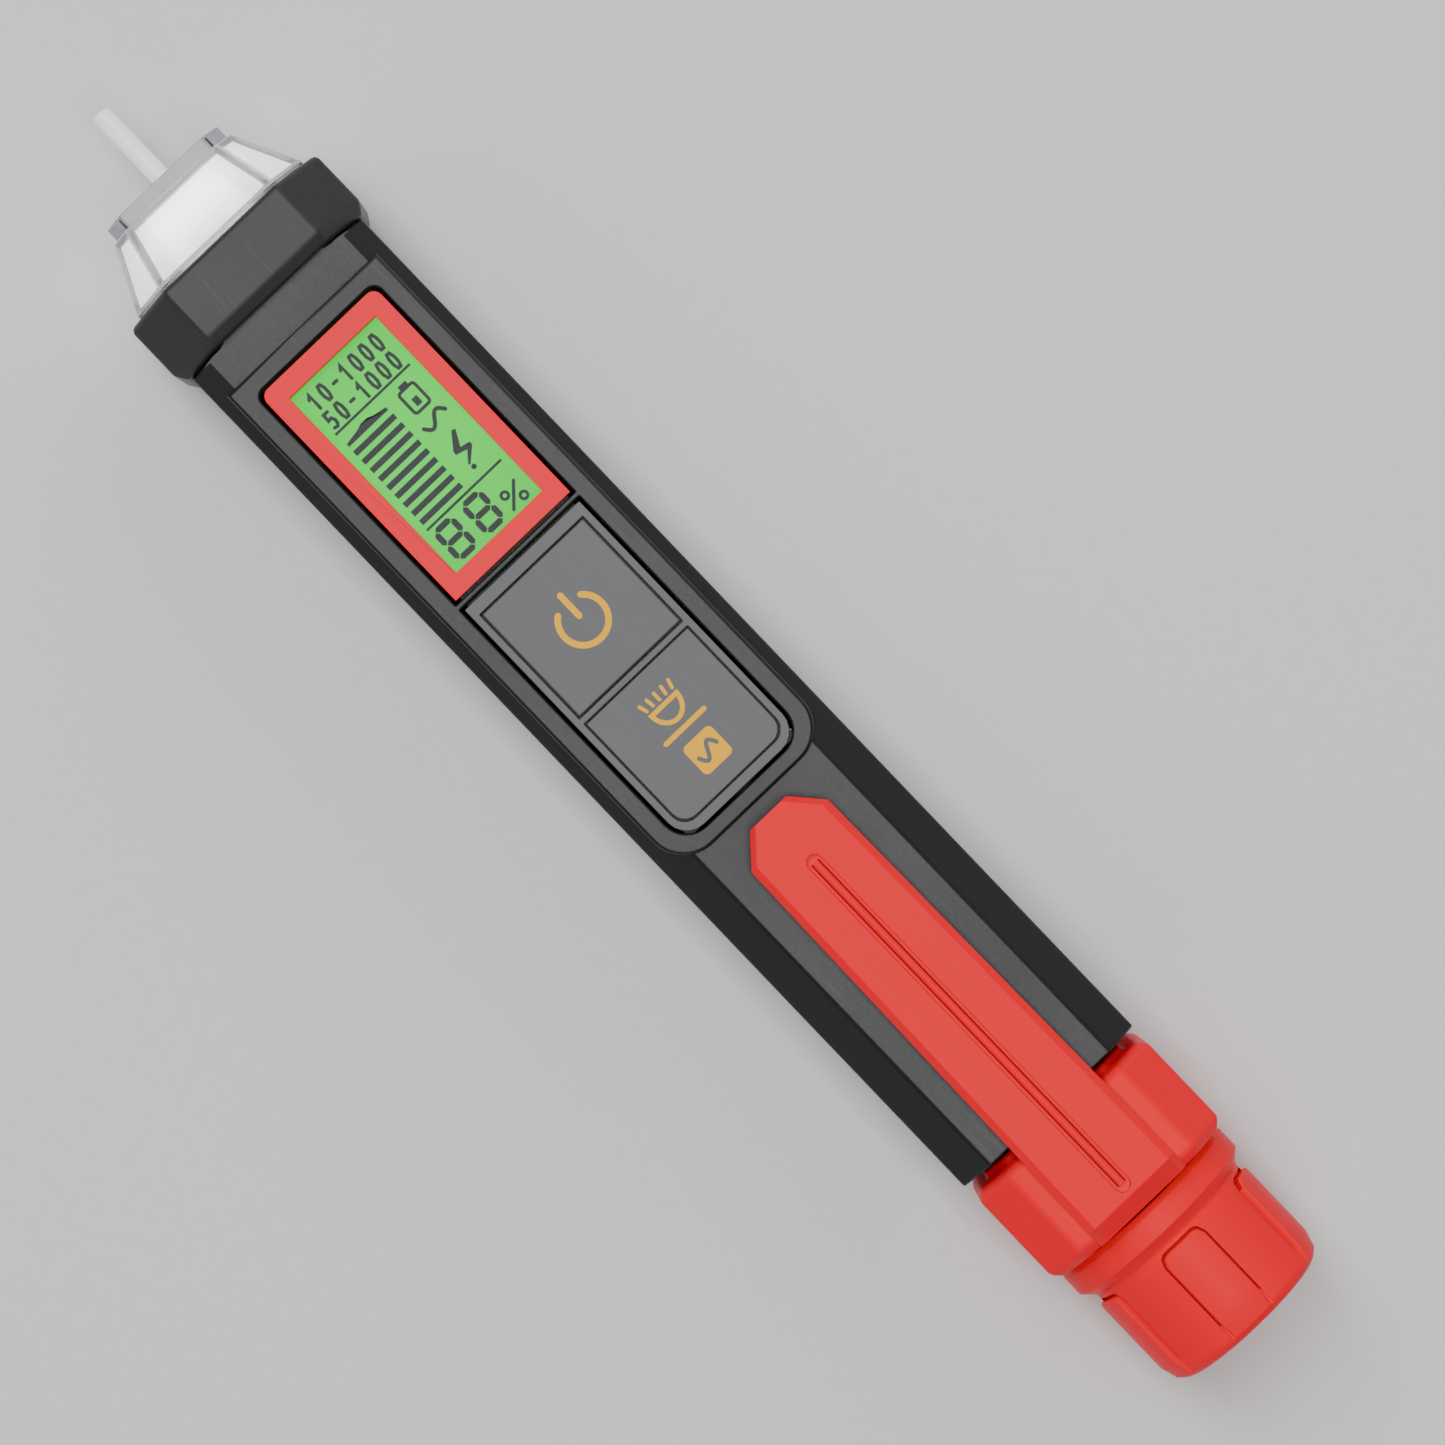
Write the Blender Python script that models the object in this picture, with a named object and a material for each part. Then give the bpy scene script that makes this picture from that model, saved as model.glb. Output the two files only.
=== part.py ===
"""Non contact voltage tester, pen style, with display, two keys, pocket clip and screw cap.

The tool lies on its back: +X runs from the probe's tip to the cap, +Z out of the display.
Sizes are millimetres in a frame of the tool's own, where x is the distance from the probe's
tip and y and z are measured from the tool's axis. One empty carries that frame to the floor.
"""
import math

import bmesh
import bpy
from mathutils import Matrix, Vector

MM = 0.001

# Overall sizes
LENGTH = 160.0            # probe tip to cap end
BODY_HALF_WIDTH = 11.05   # unless the power store needs more
BODY_CHAMFER = 3.25
WALL = 1.5
REST_STEP = 0.8           # collar and clip ring, which touch the floor, above the body

# Clearances
GAP = 0.3                 # between pieces that touch or screw together
KEY_GAP = 0.2             # round each key in its panel
BEZEL_GAP = 0.25          # between the bezel and the glass

# Stations along the tool
NOSE_FRONT = 9.35
COLLAR_FRONT = 17.9
COLLAR_LENGTH = 7.3
RECESS_REAR = 29.25       # end of the low flat behind the collar
CLIP_RING_LENGTH = 12.4
CAP_LENGTH = 15.6
CAP_FLANGE_LENGTH = 3.8

# Probe and nose
PROBE_RADIUS = 1.0
PROBE_BORE_RADIUS = 0.6
PROBE_TAIL = 19.6
WIRE_RADIUS = 0.3
NOSE_FRONT_HALF_WIDTH = 7.65
NOSE_FRONT_CHAMFER = 1.8
NOSE_REAR_HALF_WIDTH = 10.8
NOSE_REAR_CHAMFER = 3.5
NOSE_FLATNESS = 0.5       # how much less tall than wide the nose is, each side
NOSE_WALL = 1.2
SPIGOT_HALF_WIDTH = 8.6
SPIGOT_CHAMFER = 3.3
SPIGOT_LENGTH = 4.9
LED_RADIUS = 1.5
LED_LENGTH = 8.0
LED_OFFSET = 4.2

# Front collar
COLLAR_OVERHANG = 1.1     # beyond the body, each side
COLLAR_CHAMFER = 4.85
COLLAR_EDGE = 0.4
COLLAR_TAPER = 1.2
COLLAR_LIP = 1.3

# Face: display window and keypad
FRAME_HEIGHT = 0.6        # surround above the body
FRAME_HALF_WIDTH = 9.74
FRAME_BORDER = 1.9        # beyond the keypad's end
FRAME_CORNER = 4.0
RECESS_DEPTH = 0.9        # flat behind the collar, below the body
BEZEL_FRONT = 31.4
BEZEL_LENGTH = 26.7
BEZEL_HALF_WIDTH = 7.45
BEZEL_MARGIN_X = 2.1
BEZEL_MARGIN_Y = 1.85
BEZEL_THICKNESS = 0.9
PANEL_THICKNESS = 0.9
PANEL_SPACE = 1.2         # between bezel and keypad
PANEL_CORNER = 2.4
KEY_MARGIN_X = 1.45
KEY_MARGIN_REAR = 1.15
KEY_MARGIN_Y = 0.9
KEY_LENGTH = 13.25
KEY_DIVIDER = 1.0
KEY_THICKNESS = 1.0
KEY_TRAVEL = 0.35

# Power store
CELL_RADIUS = 5.25        # AAA
CELL_LENGTH = 44.5
CELL_NUB_RADIUS = 1.9
CELL_NUB_LENGTH = 1.0
CELL_EDGE = 0.4
SLEEVE_WALL = 0.95
SLEEVE_END_WALL = 1.0
CONTACT_THICKNESS = 0.4
CELL_TAIL_SPACE = 8.5     # from the last cell to the cap's end
SLEEVE_FLANGE_STEP = 1.1
SLEEVE_FLANGE_LENGTH = 1.6
NECK_WALL = 1.95

# Cap and its thread
THREAD_CORE_STEP = 0.5    # below the neck
THREAD_CREST_STEP = 0.1   # above the neck
THREAD_PITCH = 2.4
THREAD_TURNS = 2.25
RIDGE_BASE = 0.9
RIDGE_CREST = 0.45
CAP_FLANGE_STEP = 0.7     # beyond the grip
CAP_FLANGE_CHAMFER = 0.5
CAP_WALL = 1.35
CAP_PAD_HEIGHT = 0.4
CAP_PADS = 5
CAP_PAD_ANGLE = math.radians(30.0)
CAP_PAD_SETBACK = 0.8
CAP_END_ROUND = 1.2
CAP_BORE_STEP = 0.8       # beyond the neck
CAP_RIDGE_STEP = 0.2      # below the neck
CAP_END_WALL = 1.8
SEAL_SECTION_RADIUS = 0.4
SEAL_SEAT_LENGTH = 2.0
SPRING_RADIUS = 3.6
SPRING_WIRE_RADIUS = 0.4
SPRING_TURNS = 3.5

# Clip
CLIP_INSET = 0.1          # inside the body, each side
CLIP_CHAMFER = 3.6
CLIP_EDGE = 0.75
CLIP_NOSE_LENGTH = 1.1
ARM_LENGTH = 51.0
ARM_TIP_HALF_WIDTH = 2.35
ARM_CORNER_HALF_WIDTH = 4.95
ARM_ROOT_HALF_WIDTH = 5.5
ARM_THICKNESS = 1.9
ARM_EDGE = 0.7
ARM_LIFT = 0.4            # underside above the clip ring
ARM_FOOT_GAP = 0.35       # foot above the housing
ARM_HINGE_BACK = 1.2      # hinge line ahead of the ring's rear face

# Electronics
BOARD_FRONT = 31.0
BOARD_HALF_WIDTH = 7.0
BOARD_OVERLAP = 4.0       # over the sleeve's front end, at least
BOARD_THICKNESS = 0.8
CHIP_SIDE = 7.0
CHIP_HEIGHT = 1.0
BUZZER_RADIUS = 6.0
BUZZER_HEIGHT = 5.0
BUZZER_X = 44.0
SOUND_HOLE_RADIUS = 0.6
SOUND_HOLE_RING = 2.6
SOUND_HOLES = 6
BACKLIGHT_THICKNESS = 0.8
GLASS_THICKNESS = 0.8
SWITCH_SIDE = 6.0
SWITCH_HEIGHT = 1.0
PLUNGER_RADIUS = 0.8
STRIP_THICKNESS = 0.3
STRIP_WIDTH = 3.0

# Housing screws
SCREW_X = 27.2
SCREW_Y = 5.4
SCREW_SHANK_RADIUS = 0.9
SCREW_HEAD_RADIUS = 1.8
SCREW_HEAD_HEIGHT = 1.4
BOSS_WALL = 0.9
SCREW_HEAD_DEPTH = 2.2    # head's underside above the back face
SCREW_REACH = 5.0         # shank above the parting plane

ROUND = 32                # sides of a turned piece
SMALL_ROUND = 16
SMOOTH_ANGLE = math.radians(35.0)

# Stations and radii that follow from the sizes above
COLLAR_REAR = COLLAR_FRONT + COLLAR_LENGTH
HOUSING_FRONT = COLLAR_FRONT + COLLAR_LIP + GAP
BODY_FRONT = COLLAR_REAR + GAP
NOSE_REAR = COLLAR_FRONT - GAP
BEZEL_REAR = BEZEL_FRONT + BEZEL_LENGTH
PANEL_FRONT = BEZEL_REAR + PANEL_SPACE
PANEL_REAR = PANEL_FRONT + KEY_MARGIN_X + 2 * KEY_LENGTH + KEY_DIVIDER + KEY_MARGIN_REAR
PANEL_HALF_WIDTH = BEZEL_HALF_WIDTH
FRAME_REAR = PANEL_REAR + FRAME_BORDER
KEY_HALF_WIDTH = PANEL_HALF_WIDTH - KEY_MARGIN_Y
POWER_KEY_FRONT = PANEL_FRONT + KEY_MARGIN_X
TORCH_KEY_FRONT = POWER_KEY_FRONT + KEY_LENGTH + KEY_DIVIDER
CELL_BORE_RADIUS = CELL_RADIUS + GAP
SLEEVE_RADIUS = CELL_BORE_RADIUS + SLEEVE_WALL
NECK_RADIUS = CELL_BORE_RADIUS + NECK_WALL
SLEEVE_FLANGE_RADIUS = NECK_RADIUS + SLEEVE_FLANGE_STEP
THREAD_CORE_RADIUS = NECK_RADIUS - THREAD_CORE_STEP
THREAD_CREST_RADIUS = NECK_RADIUS + THREAD_CREST_STEP
CAP_BORE_RADIUS = NECK_RADIUS + CAP_BORE_STEP
CAP_RIDGE_RADIUS = NECK_RADIUS - CAP_RIDGE_STEP
CAP_GRIP_RADIUS = CAP_BORE_RADIUS + CAP_WALL
CAP_FLANGE_RADIUS = CAP_GRIP_RADIUS + CAP_FLANGE_STEP
BODY_HALF_WIDTH = max(BODY_HALF_WIDTH, SLEEVE_FLANGE_RADIUS + GAP + WALL)
COLLAR_HALF_WIDTH = BODY_HALF_WIDTH + COLLAR_OVERHANG
CLIP_HALF_WIDTH = BODY_HALF_WIDTH - CLIP_INSET
REAR_CELL_TAIL = LENGTH - CELL_TAIL_SPACE
REAR_CELL_FRONT = REAR_CELL_TAIL - CELL_LENGTH
FRONT_CELL_TAIL = REAR_CELL_FRONT - GAP
FRONT_CELL_FRONT = FRONT_CELL_TAIL - CELL_LENGTH
CONTACT_FRONT = FRONT_CELL_FRONT - GAP - CONTACT_THICKNESS
SLEEVE_FRONT = CONTACT_FRONT - GAP - SLEEVE_END_WALL
CONTACT_STEM_RADIUS = 1.1
BOARD_REAR = max(PANEL_REAR, SLEEVE_FRONT + BOARD_OVERLAP)
CAP_FRONT = LENGTH - CAP_LENGTH
CLIP_RING_REAR = CAP_FRONT - GAP
CLIP_RING_FRONT = CLIP_RING_REAR - CLIP_RING_LENGTH
BODY_REAR = CLIP_RING_FRONT - GAP
ARM_REAR = CLIP_RING_REAR - GAP
ARM_TIP = ARM_REAR - ARM_LENGTH
NECK_REAR = CAP_FRONT + 1.2
THREAD_REAR = REAR_CELL_TAIL + 0.5
CAP_CORE_RADIUS = CAP_GRIP_RADIUS - CAP_PAD_HEIGHT
CAP_INNER_END = LENGTH - CAP_END_WALL
SEAL_SEAT_RADIUS = NECK_RADIUS + 2 * SEAL_SECTION_RADIUS + 2 * GAP
BOARD_BOTTOM = SLEEVE_RADIUS + GAP + 0.05
BOARD_TOP = BOARD_BOTTOM + BOARD_THICKNESS
LIGHT_BOTTOM = BOARD_TOP + GAP
GLASS_BOTTOM = LIGHT_BOTTOM + BACKLIGHT_THICKNESS + GAP
BEZEL_BOTTOM = GLASS_BOTTOM + GLASS_THICKNESS + BEZEL_GAP
FRAME_TOP = BEZEL_BOTTOM + BEZEL_THICKNESS
BODY_HALF_HEIGHT = FRAME_TOP - FRAME_HEIGHT
RECESS_TOP = BODY_HALF_HEIGHT - RECESS_DEPTH
REST_HEIGHT = BODY_HALF_HEIGHT + REST_STEP
SWITCH_BOTTOM = BOARD_TOP + GAP
SWITCH_TOP = SWITCH_BOTTOM + SWITCH_HEIGHT
PLUNGER_BOTTOM = SWITCH_BOTTOM + 0.25 + KEY_TRAVEL
PLUNGER_TOP = SWITCH_TOP + GAP
KEY_STEM_BOTTOM = PLUNGER_TOP + GAP
KEY_BOTTOM = FRAME_TOP - KEY_THICKNESS
FLOOR_Z = -(BODY_HALF_HEIGHT - WALL)
ARM_BOTTOM = REST_HEIGHT + ARM_LIFT


def clear_scene():
    """Remove whatever the file opened with."""
    for obj in list(bpy.data.objects):
        bpy.data.objects.remove(obj, do_unlink=True)


clear_scene()

tester = bpy.data.objects.new("tester_frame", None)
tester.location = (-LENGTH / 2 * MM, 0.0, REST_HEIGHT * MM)
bpy.context.scene.collection.objects.link(tester)


# ---------------------------------------------------------------- materials

def material(name, colour, roughness, metallic=0.0, alpha=1.0):
    """A Principled material with one colour and finish."""
    mat = bpy.data.materials.new(name)
    mat.use_nodes = True
    shader = mat.node_tree.nodes["Principled BSDF"]
    shader.inputs["Base Color"].default_value = (*colour, 1.0)
    shader.inputs["Roughness"].default_value = roughness
    shader.inputs["Metallic"].default_value = metallic
    shader.inputs["Alpha"].default_value = alpha
    return mat


BLACK_PLASTIC = material("black_plastic", (0.055, 0.055, 0.06), 0.45)
GREY_PLASTIC = material("grey_plastic", (0.17, 0.17, 0.18), 0.5)
RED_PLASTIC = material("red_plastic", (0.8, 0.02, 0.025), 0.4)
CLEAR_PLASTIC = material("clear_plastic", (0.9, 0.9, 0.9), 0.15, alpha=0.5)
WHITE_PLASTIC = material("white_plastic", (0.85, 0.85, 0.85), 0.35)
LED_CLEAR = material("led_clear", (0.9, 0.9, 0.95), 0.1, alpha=0.6)
LED_RED = material("led_red", (0.8, 0.05, 0.03), 0.15, alpha=0.7)
LCD_GREEN = material("lcd_green", (0.16, 1.0, 0.16), 0.3)
BOARD_GREEN = material("board_green", (0.02, 0.2, 0.06), 0.5)
CHIP_BLACK = material("chip_black", (0.02, 0.02, 0.02), 0.6)
BRASS = material("brass", (0.75, 0.55, 0.2), 0.3, 1.0)
STEEL = material("steel", (0.6, 0.6, 0.62), 0.3, 1.0)
CELL_SLEEVE = material("cell_jacket", (0.1, 0.25, 0.5), 0.35)
RUBBER = material("rubber", (0.03, 0.03, 0.03), 0.8)


# ---------------------------------------------------------------- outlines

def octagon(half_width, half_height, chamfer):
    """Eight (y, z) corners, counter-clockwise seen from the cap."""
    w, h = half_width, half_height
    y, z = w - chamfer, h - chamfer
    return [(w, -z), (w, z), (y, h), (-y, h), (-w, z), (-w, -z), (-y, -h), (y, -h)]


def inset_octagon(half_width, half_height, chamfer, inset):
    """The octagon whose eight sides all lie inset inside the one given."""
    smaller = chamfer - inset * (2.0 - math.sqrt(2.0))
    return octagon(half_width - inset, half_height - inset, smaller)


def rounded_rectangle(x0, x1, half_width, front_radius, rear_radius, steps=5):
    """(x, y) points of a rectangle whose front and rear corners are rounded."""
    points = []
    corners = [
        (x1, half_width, rear_radius, 0.0),
        (x0, half_width, front_radius, 90.0),
        (x0, -half_width, front_radius, 180.0),
        (x1, -half_width, rear_radius, 270.0),
    ]
    for x, y, radius, start in corners:
        if radius <= 0.0:
            points.append((x, y))
            continue
        cx = x - math.copysign(radius, x - (x0 + x1) / 2)
        cy = y - math.copysign(radius, y)
        for step in range(steps + 1):
            angle = math.radians(start + 90.0 * step / steps)
            points.append((cx + radius * math.cos(angle), cy + radius * math.sin(angle)))
    return points


# ---------------------------------------------------------------- builders

def finish(name, bm, mat, origin=(0.0, 0.0, 0.0), smooth=False):
    """Turn a mesh in tool millimetres into an object whose origin is where it says."""
    bmesh.ops.recalc_face_normals(bm, faces=bm.faces)
    bmesh.ops.translate(bm, verts=bm.verts, vec=-Vector(origin))
    bmesh.ops.scale(bm, verts=bm.verts, vec=(MM, MM, MM))
    mesh = bpy.data.meshes.new(name)
    bm.to_mesh(mesh)
    bm.free()
    if smooth:
        mesh.shade_smooth()
        mesh.set_sharp_from_angle(angle=SMOOTH_ANGLE)
    obj = bpy.data.objects.new(name, mesh)
    obj.location = Vector(origin) * MM
    obj.parent = tester
    if mat is not None:
        mesh.materials.append(mat)
    bpy.context.scene.collection.objects.link(obj)
    return obj


def add_box(bm, low, high):
    """Add a box between two corners."""
    size = Vector(high) - Vector(low)
    centre = (Vector(high) + Vector(low)) / 2
    place = Matrix.Translation(centre) @ Matrix.Diagonal((*size, 1.0))
    bmesh.ops.create_cube(bm, size=1.0, matrix=place)


def add_post(bm, x, y, z0, z1, radius, sides=SMALL_ROUND):
    """Add an upright cylinder."""
    place = Matrix.Translation((x, y, (z0 + z1) / 2))
    bmesh.ops.create_cone(bm, cap_ends=True, segments=sides, radius1=radius, radius2=radius,
                          depth=z1 - z0, matrix=place)


def add_loft(bm, stations):
    """Skin a row of (x, outline) sections, each with the same number of corners, and cap it."""
    rings = [[bm.verts.new((x, y, z)) for y, z in outline] for x, outline in stations]
    count = len(rings[0])
    for near, far in zip(rings, rings[1:]):
        for i in range(count):
            j = (i + 1) % count
            bm.faces.new((near[i], near[j], far[j], far[i]))
    bm.faces.new(list(reversed(rings[0])))
    bm.faces.new(rings[-1])


def add_slab(bm, outline, z0, z1):
    """Extrude an (x, y) outline from z0 up to z1."""
    base = bm.faces.new([bm.verts.new((x, y, z0)) for x, y in outline])
    grown = bmesh.ops.extrude_face_region(bm, geom=[base])
    moved = [v for v in grown["geom"] if isinstance(v, bmesh.types.BMVert)]
    bmesh.ops.translate(bm, verts=moved, vec=(0.0, 0.0, z1 - z0))


def add_turned(bm, profile, centre=(0.0, 0.0), sides=ROUND, angle=2 * math.pi):
    """Turn a closed (x, r) profile round a line along X through centre (y, z)."""
    whole = angle > 2 * math.pi - 1e-6
    columns = sides if whole else sides + 1
    rows = []
    for x, r in profile:
        if r < 1e-6:
            rows.append([bm.verts.new((x, *centre))] * columns)
            continue
        turns = (angle * (k / sides - 0.5) for k in range(columns))
        rows.append([bm.verts.new((x, centre[0] - r * math.sin(a), centre[1] + r * math.cos(a)))
                     for a in turns])
    for row, following in zip(rows, rows[1:] + rows[:1]):
        for k in range(sides):
            m = (k + 1) % columns
            corners = list(dict.fromkeys((row[k], row[m], following[m], following[k])))
            if len(corners) > 2:
                bm.faces.new(corners)
    if not whole:
        bm.faces.new([row[0] for row in rows])
        bm.faces.new([row[-1] for row in reversed(rows)])


def add_helix(bm, x0, pitch, turns, section, steps_per_turn=ROUND, start=0.0):
    """Sweep a closed (dx, r) section along a right-handed helix round the tool's axis."""
    rings = []
    steps = round(turns * steps_per_turn)
    for step in range(steps + 1):
        angle = start + 2 * math.pi * step / steps_per_turn
        x = x0 + pitch * step / steps_per_turn
        ring = [bm.verts.new((x + dx, -r * math.sin(angle), r * math.cos(angle)))
                for dx, r in section]
        rings.append(ring)
    count = len(section)
    for near, far in zip(rings, rings[1:]):
        for i in range(count):
            j = (i + 1) % count
            bm.faces.new((near[i], near[j], far[j], far[i]))
    bm.faces.new(list(reversed(rings[0])))
    bm.faces.new(rings[-1])


def box(name, low, high, mat, origin=(0.0, 0.0, 0.0)):
    """A box-shaped piece."""
    bm = bmesh.new()
    add_box(bm, low, high)
    return finish(name, bm, mat, origin)


def turned(name, profile, mat, centre=(0.0, 0.0), sides=ROUND):
    """A turned piece."""
    bm = bmesh.new()
    add_turned(bm, profile, centre, sides)
    return finish(name, bm, mat, smooth=True)


def guide(name, bm):
    """A cutter or an addition, which is not a piece of its own."""
    obj = finish(name, bm, None)
    obj.hide_render = True
    obj.display_type = "WIRE"
    return obj


def combine(obj, other, operation):
    """Cut, or join on, a guide with an exact Boolean."""
    step = obj.modifiers.new(other.name, "BOOLEAN")
    step.operation = operation
    step.solver = "EXACT"
    step.object = other


def cut(obj, name, bm):
    """Take a shape out of a piece."""
    combine(obj, guide(name, bm), "DIFFERENCE")


def join(obj, name, bm):
    """Add a shape to a piece."""
    combine(obj, guide(name, bm), "UNION")


# ---------------------------------------------------------------- nose

def nose_section(half_width, chamfer):
    """A section of the nose, a little less tall than wide."""
    return octagon(half_width, half_width - NOSE_FLATNESS, chamfer)


def make_nose():
    """Clear nose cone, probe, antenna wire, lamp holder and the three lamps."""
    spigot_rear = NOSE_REAR + SPIGOT_LENGTH
    bm = bmesh.new()
    spigot = nose_section(SPIGOT_HALF_WIDTH, SPIGOT_CHAMFER)
    add_loft(bm, [
        (NOSE_FRONT, nose_section(NOSE_FRONT_HALF_WIDTH, NOSE_FRONT_CHAMFER)),
        (NOSE_REAR, nose_section(NOSE_REAR_HALF_WIDTH, NOSE_REAR_CHAMFER)),
        (NOSE_REAR, spigot),
        (spigot_rear, spigot),
    ])
    nose = finish("nose_cone", bm, CLEAR_PLASTIC)
    inner_half = SPIGOT_HALF_WIDTH - NOSE_WALL
    inner = nose_section(inner_half, SPIGOT_CHAMFER - 0.7)
    front = nose_section(NOSE_FRONT_HALF_WIDTH - NOSE_WALL, NOSE_FRONT_CHAMFER - 0.5)
    bm = bmesh.new()
    add_loft(bm, [(NOSE_FRONT + NOSE_WALL, front), (NOSE_REAR - 0.6, inner), (spigot_rear + 1.0, inner)])
    cut(nose, "cut_nose_cavity", bm)
    bm = bmesh.new()
    add_turned(bm, [(NOSE_FRONT - 1.0, 0.0), (NOSE_FRONT - 1.0, PROBE_RADIUS + GAP),
                    (NOSE_FRONT + NOSE_WALL + 1.0, PROBE_RADIUS + GAP),
                    (NOSE_FRONT + NOSE_WALL + 1.0, 0.0)], sides=SMALL_ROUND)
    cut(nose, "cut_nose_hole", bm)

    tip_round = 0.35
    flange_front = PROBE_TAIL - 0.9
    turned("probe_sheath", [
        (0.0, 0.0), (0.0, PROBE_RADIUS - tip_round), (tip_round, PROBE_RADIUS),
        (flange_front, PROBE_RADIUS), (flange_front, 2 * PROBE_RADIUS),
        (PROBE_TAIL, 2 * PROBE_RADIUS), (PROBE_TAIL, PROBE_BORE_RADIUS),
        (1.2, PROBE_BORE_RADIUS), (1.2, 0.0),
    ], WHITE_PLASTIC, sides=SMALL_ROUND)

    holder_front = PROBE_TAIL + GAP
    holder_rear = holder_front + 1.2
    bm = bmesh.new()
    plate = nose_section(inner_half - GAP, SPIGOT_CHAMFER - 0.7)
    add_loft(bm, [(holder_front, plate), (holder_rear, plate)])
    holder = finish("led_holder", bm, WHITE_PLASTIC)
    seats = {"torch_led_left": (LED_OFFSET, 0.0), "torch_led_right": (-LED_OFFSET, 0.0),
             "alarm_led": (0.0, -LED_OFFSET)}
    holes = dict(seats, wire=(0.0, 0.0))
    bm = bmesh.new()
    for label, centre in holes.items():
        radius = (WIRE_RADIUS if label == "wire" else LED_RADIUS) + GAP
        add_turned(bm, [(holder_front - 1.0, 0.0), (holder_front - 1.0, radius),
                        (holder_rear + 1.0, radius), (holder_rear + 1.0, 0.0)],
                   centre, SMALL_ROUND)
    cut(holder, "cut_holder_holes", bm)

    lamp_rear = holder_rear + GAP + 0.9
    lamp_front = lamp_rear - LED_LENGTH
    dome = [(lamp_front + LED_RADIUS * (1 - math.cos(a)), LED_RADIUS * math.sin(a))
            for a in (math.radians(22.5 * i) for i in range(5))]
    for label, centre in seats.items():
        mat = LED_RED if label == "alarm_led" else LED_CLEAR
        turned(label, dome + [(holder_rear + GAP, LED_RADIUS), (holder_rear + GAP, LED_RADIUS + 0.5),
                              (lamp_rear, LED_RADIUS + 0.5), (lamp_rear, 0.0)],
               mat, centre, SMALL_ROUND)

    curve = bpy.data.curves.new("antenna_wire", "CURVE")
    curve.dimensions = "3D"
    curve.bevel_depth = WIRE_RADIUS * MM
    curve.bevel_resolution = 2
    curve.use_fill_caps = True
    board_end = (BOARD_FRONT + 2.0, 0.0, BOARD_BOTTOM - GAP - WIRE_RADIUS)
    bend_start = lamp_rear + 0.6
    route = [(1.2 + GAP, 0.0, 0.0), (bend_start, 0.0, 0.0)]
    for step in range(1, 9):
        share = step / 8
        rise = share * share * (3 - 2 * share)
        route.append((bend_start + (board_end[0] - bend_start) * share, 0.0, board_end[2] * rise))
    spline = curve.splines.new("POLY")
    spline.points.add(len(route) - 1)
    for point, place in zip(spline.points, route):
        point.co = (*(Vector(place) * MM), 1.0)
    curve.materials.append(BRASS)
    wire = bpy.data.objects.new("antenna_wire", curve)
    wire.parent = tester
    bpy.context.scene.collection.objects.link(wire)


# ---------------------------------------------------------------- housing

def make_collar():
    """Octagonal collar that holds the nose to the two housing halves."""
    w, h = COLLAR_HALF_WIDTH, REST_HEIGHT
    eased = inset_octagon(w, h, COLLAR_CHAMFER, COLLAR_EDGE)
    full = octagon(w, h, COLLAR_CHAMFER)
    tail = inset_octagon(w, h, COLLAR_CHAMFER, 0.8)
    bm = bmesh.new()
    add_loft(bm, [(COLLAR_FRONT, eased), (COLLAR_FRONT + COLLAR_EDGE, full),
                  (COLLAR_REAR - COLLAR_TAPER, full), (COLLAR_REAR, tail)])
    collar = finish("front_collar", bm, BLACK_PLASTIC)
    lip = nose_section(SPIGOT_HALF_WIDTH + GAP, SPIGOT_CHAMFER + 0.15)
    seat = neck_section(GAP)
    bm = bmesh.new()
    add_loft(bm, [(COLLAR_FRONT - 1.0, lip), (COLLAR_FRONT + COLLAR_LIP, lip),
                  (COLLAR_FRONT + COLLAR_LIP, seat), (COLLAR_REAR + 1.0, seat)])
    cut(collar, "cut_collar_bore", bm)


def neck_section(grow):
    """Section of the housing's front neck, inside the collar, grown by a clearance."""
    w = COLLAR_HALF_WIDTH - 1.75
    h = BODY_HALF_HEIGHT - 0.5
    return inset_octagon(w, h, 4.3, -grow)


def shell_blank(name):
    """Both housing halves' outside, hollowed, as one closed shape."""
    neck = neck_section(0.0)
    body = octagon(BODY_HALF_WIDTH, BODY_HALF_HEIGHT, BODY_CHAMFER)
    bm = bmesh.new()
    add_loft(bm, [(HOUSING_FRONT, neck), (BODY_FRONT, neck), (BODY_FRONT, body), (BODY_REAR, body)])
    return finish(name, bm, BLACK_PLASTIC)


def hollow(shell, label):
    """Open the inside of a housing half, from the nose's spigot to the rear wall."""
    front = nose_section(SPIGOT_HALF_WIDTH + GAP, SPIGOT_CHAMFER + 0.15)
    room = inset_octagon(BODY_HALF_WIDTH, BODY_HALF_HEIGHT, BODY_CHAMFER, WALL)
    bm = bmesh.new()
    add_loft(bm, [(HOUSING_FRONT - 1.0, front), (BODY_FRONT, front), (BODY_FRONT + WALL, room),
                  (BODY_REAR - WALL, room)])
    cut(shell, "cut_room_" + label, bm)
    bm = bmesh.new()
    add_turned(bm, [(BODY_REAR - 2 * WALL, 0.0), (BODY_REAR - 2 * WALL, NECK_RADIUS + GAP),
                    (BODY_REAR + 1.0, NECK_RADIUS + GAP), (BODY_REAR + 1.0, 0.0)])
    cut(shell, "cut_neck_hole_" + label, bm)


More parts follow.
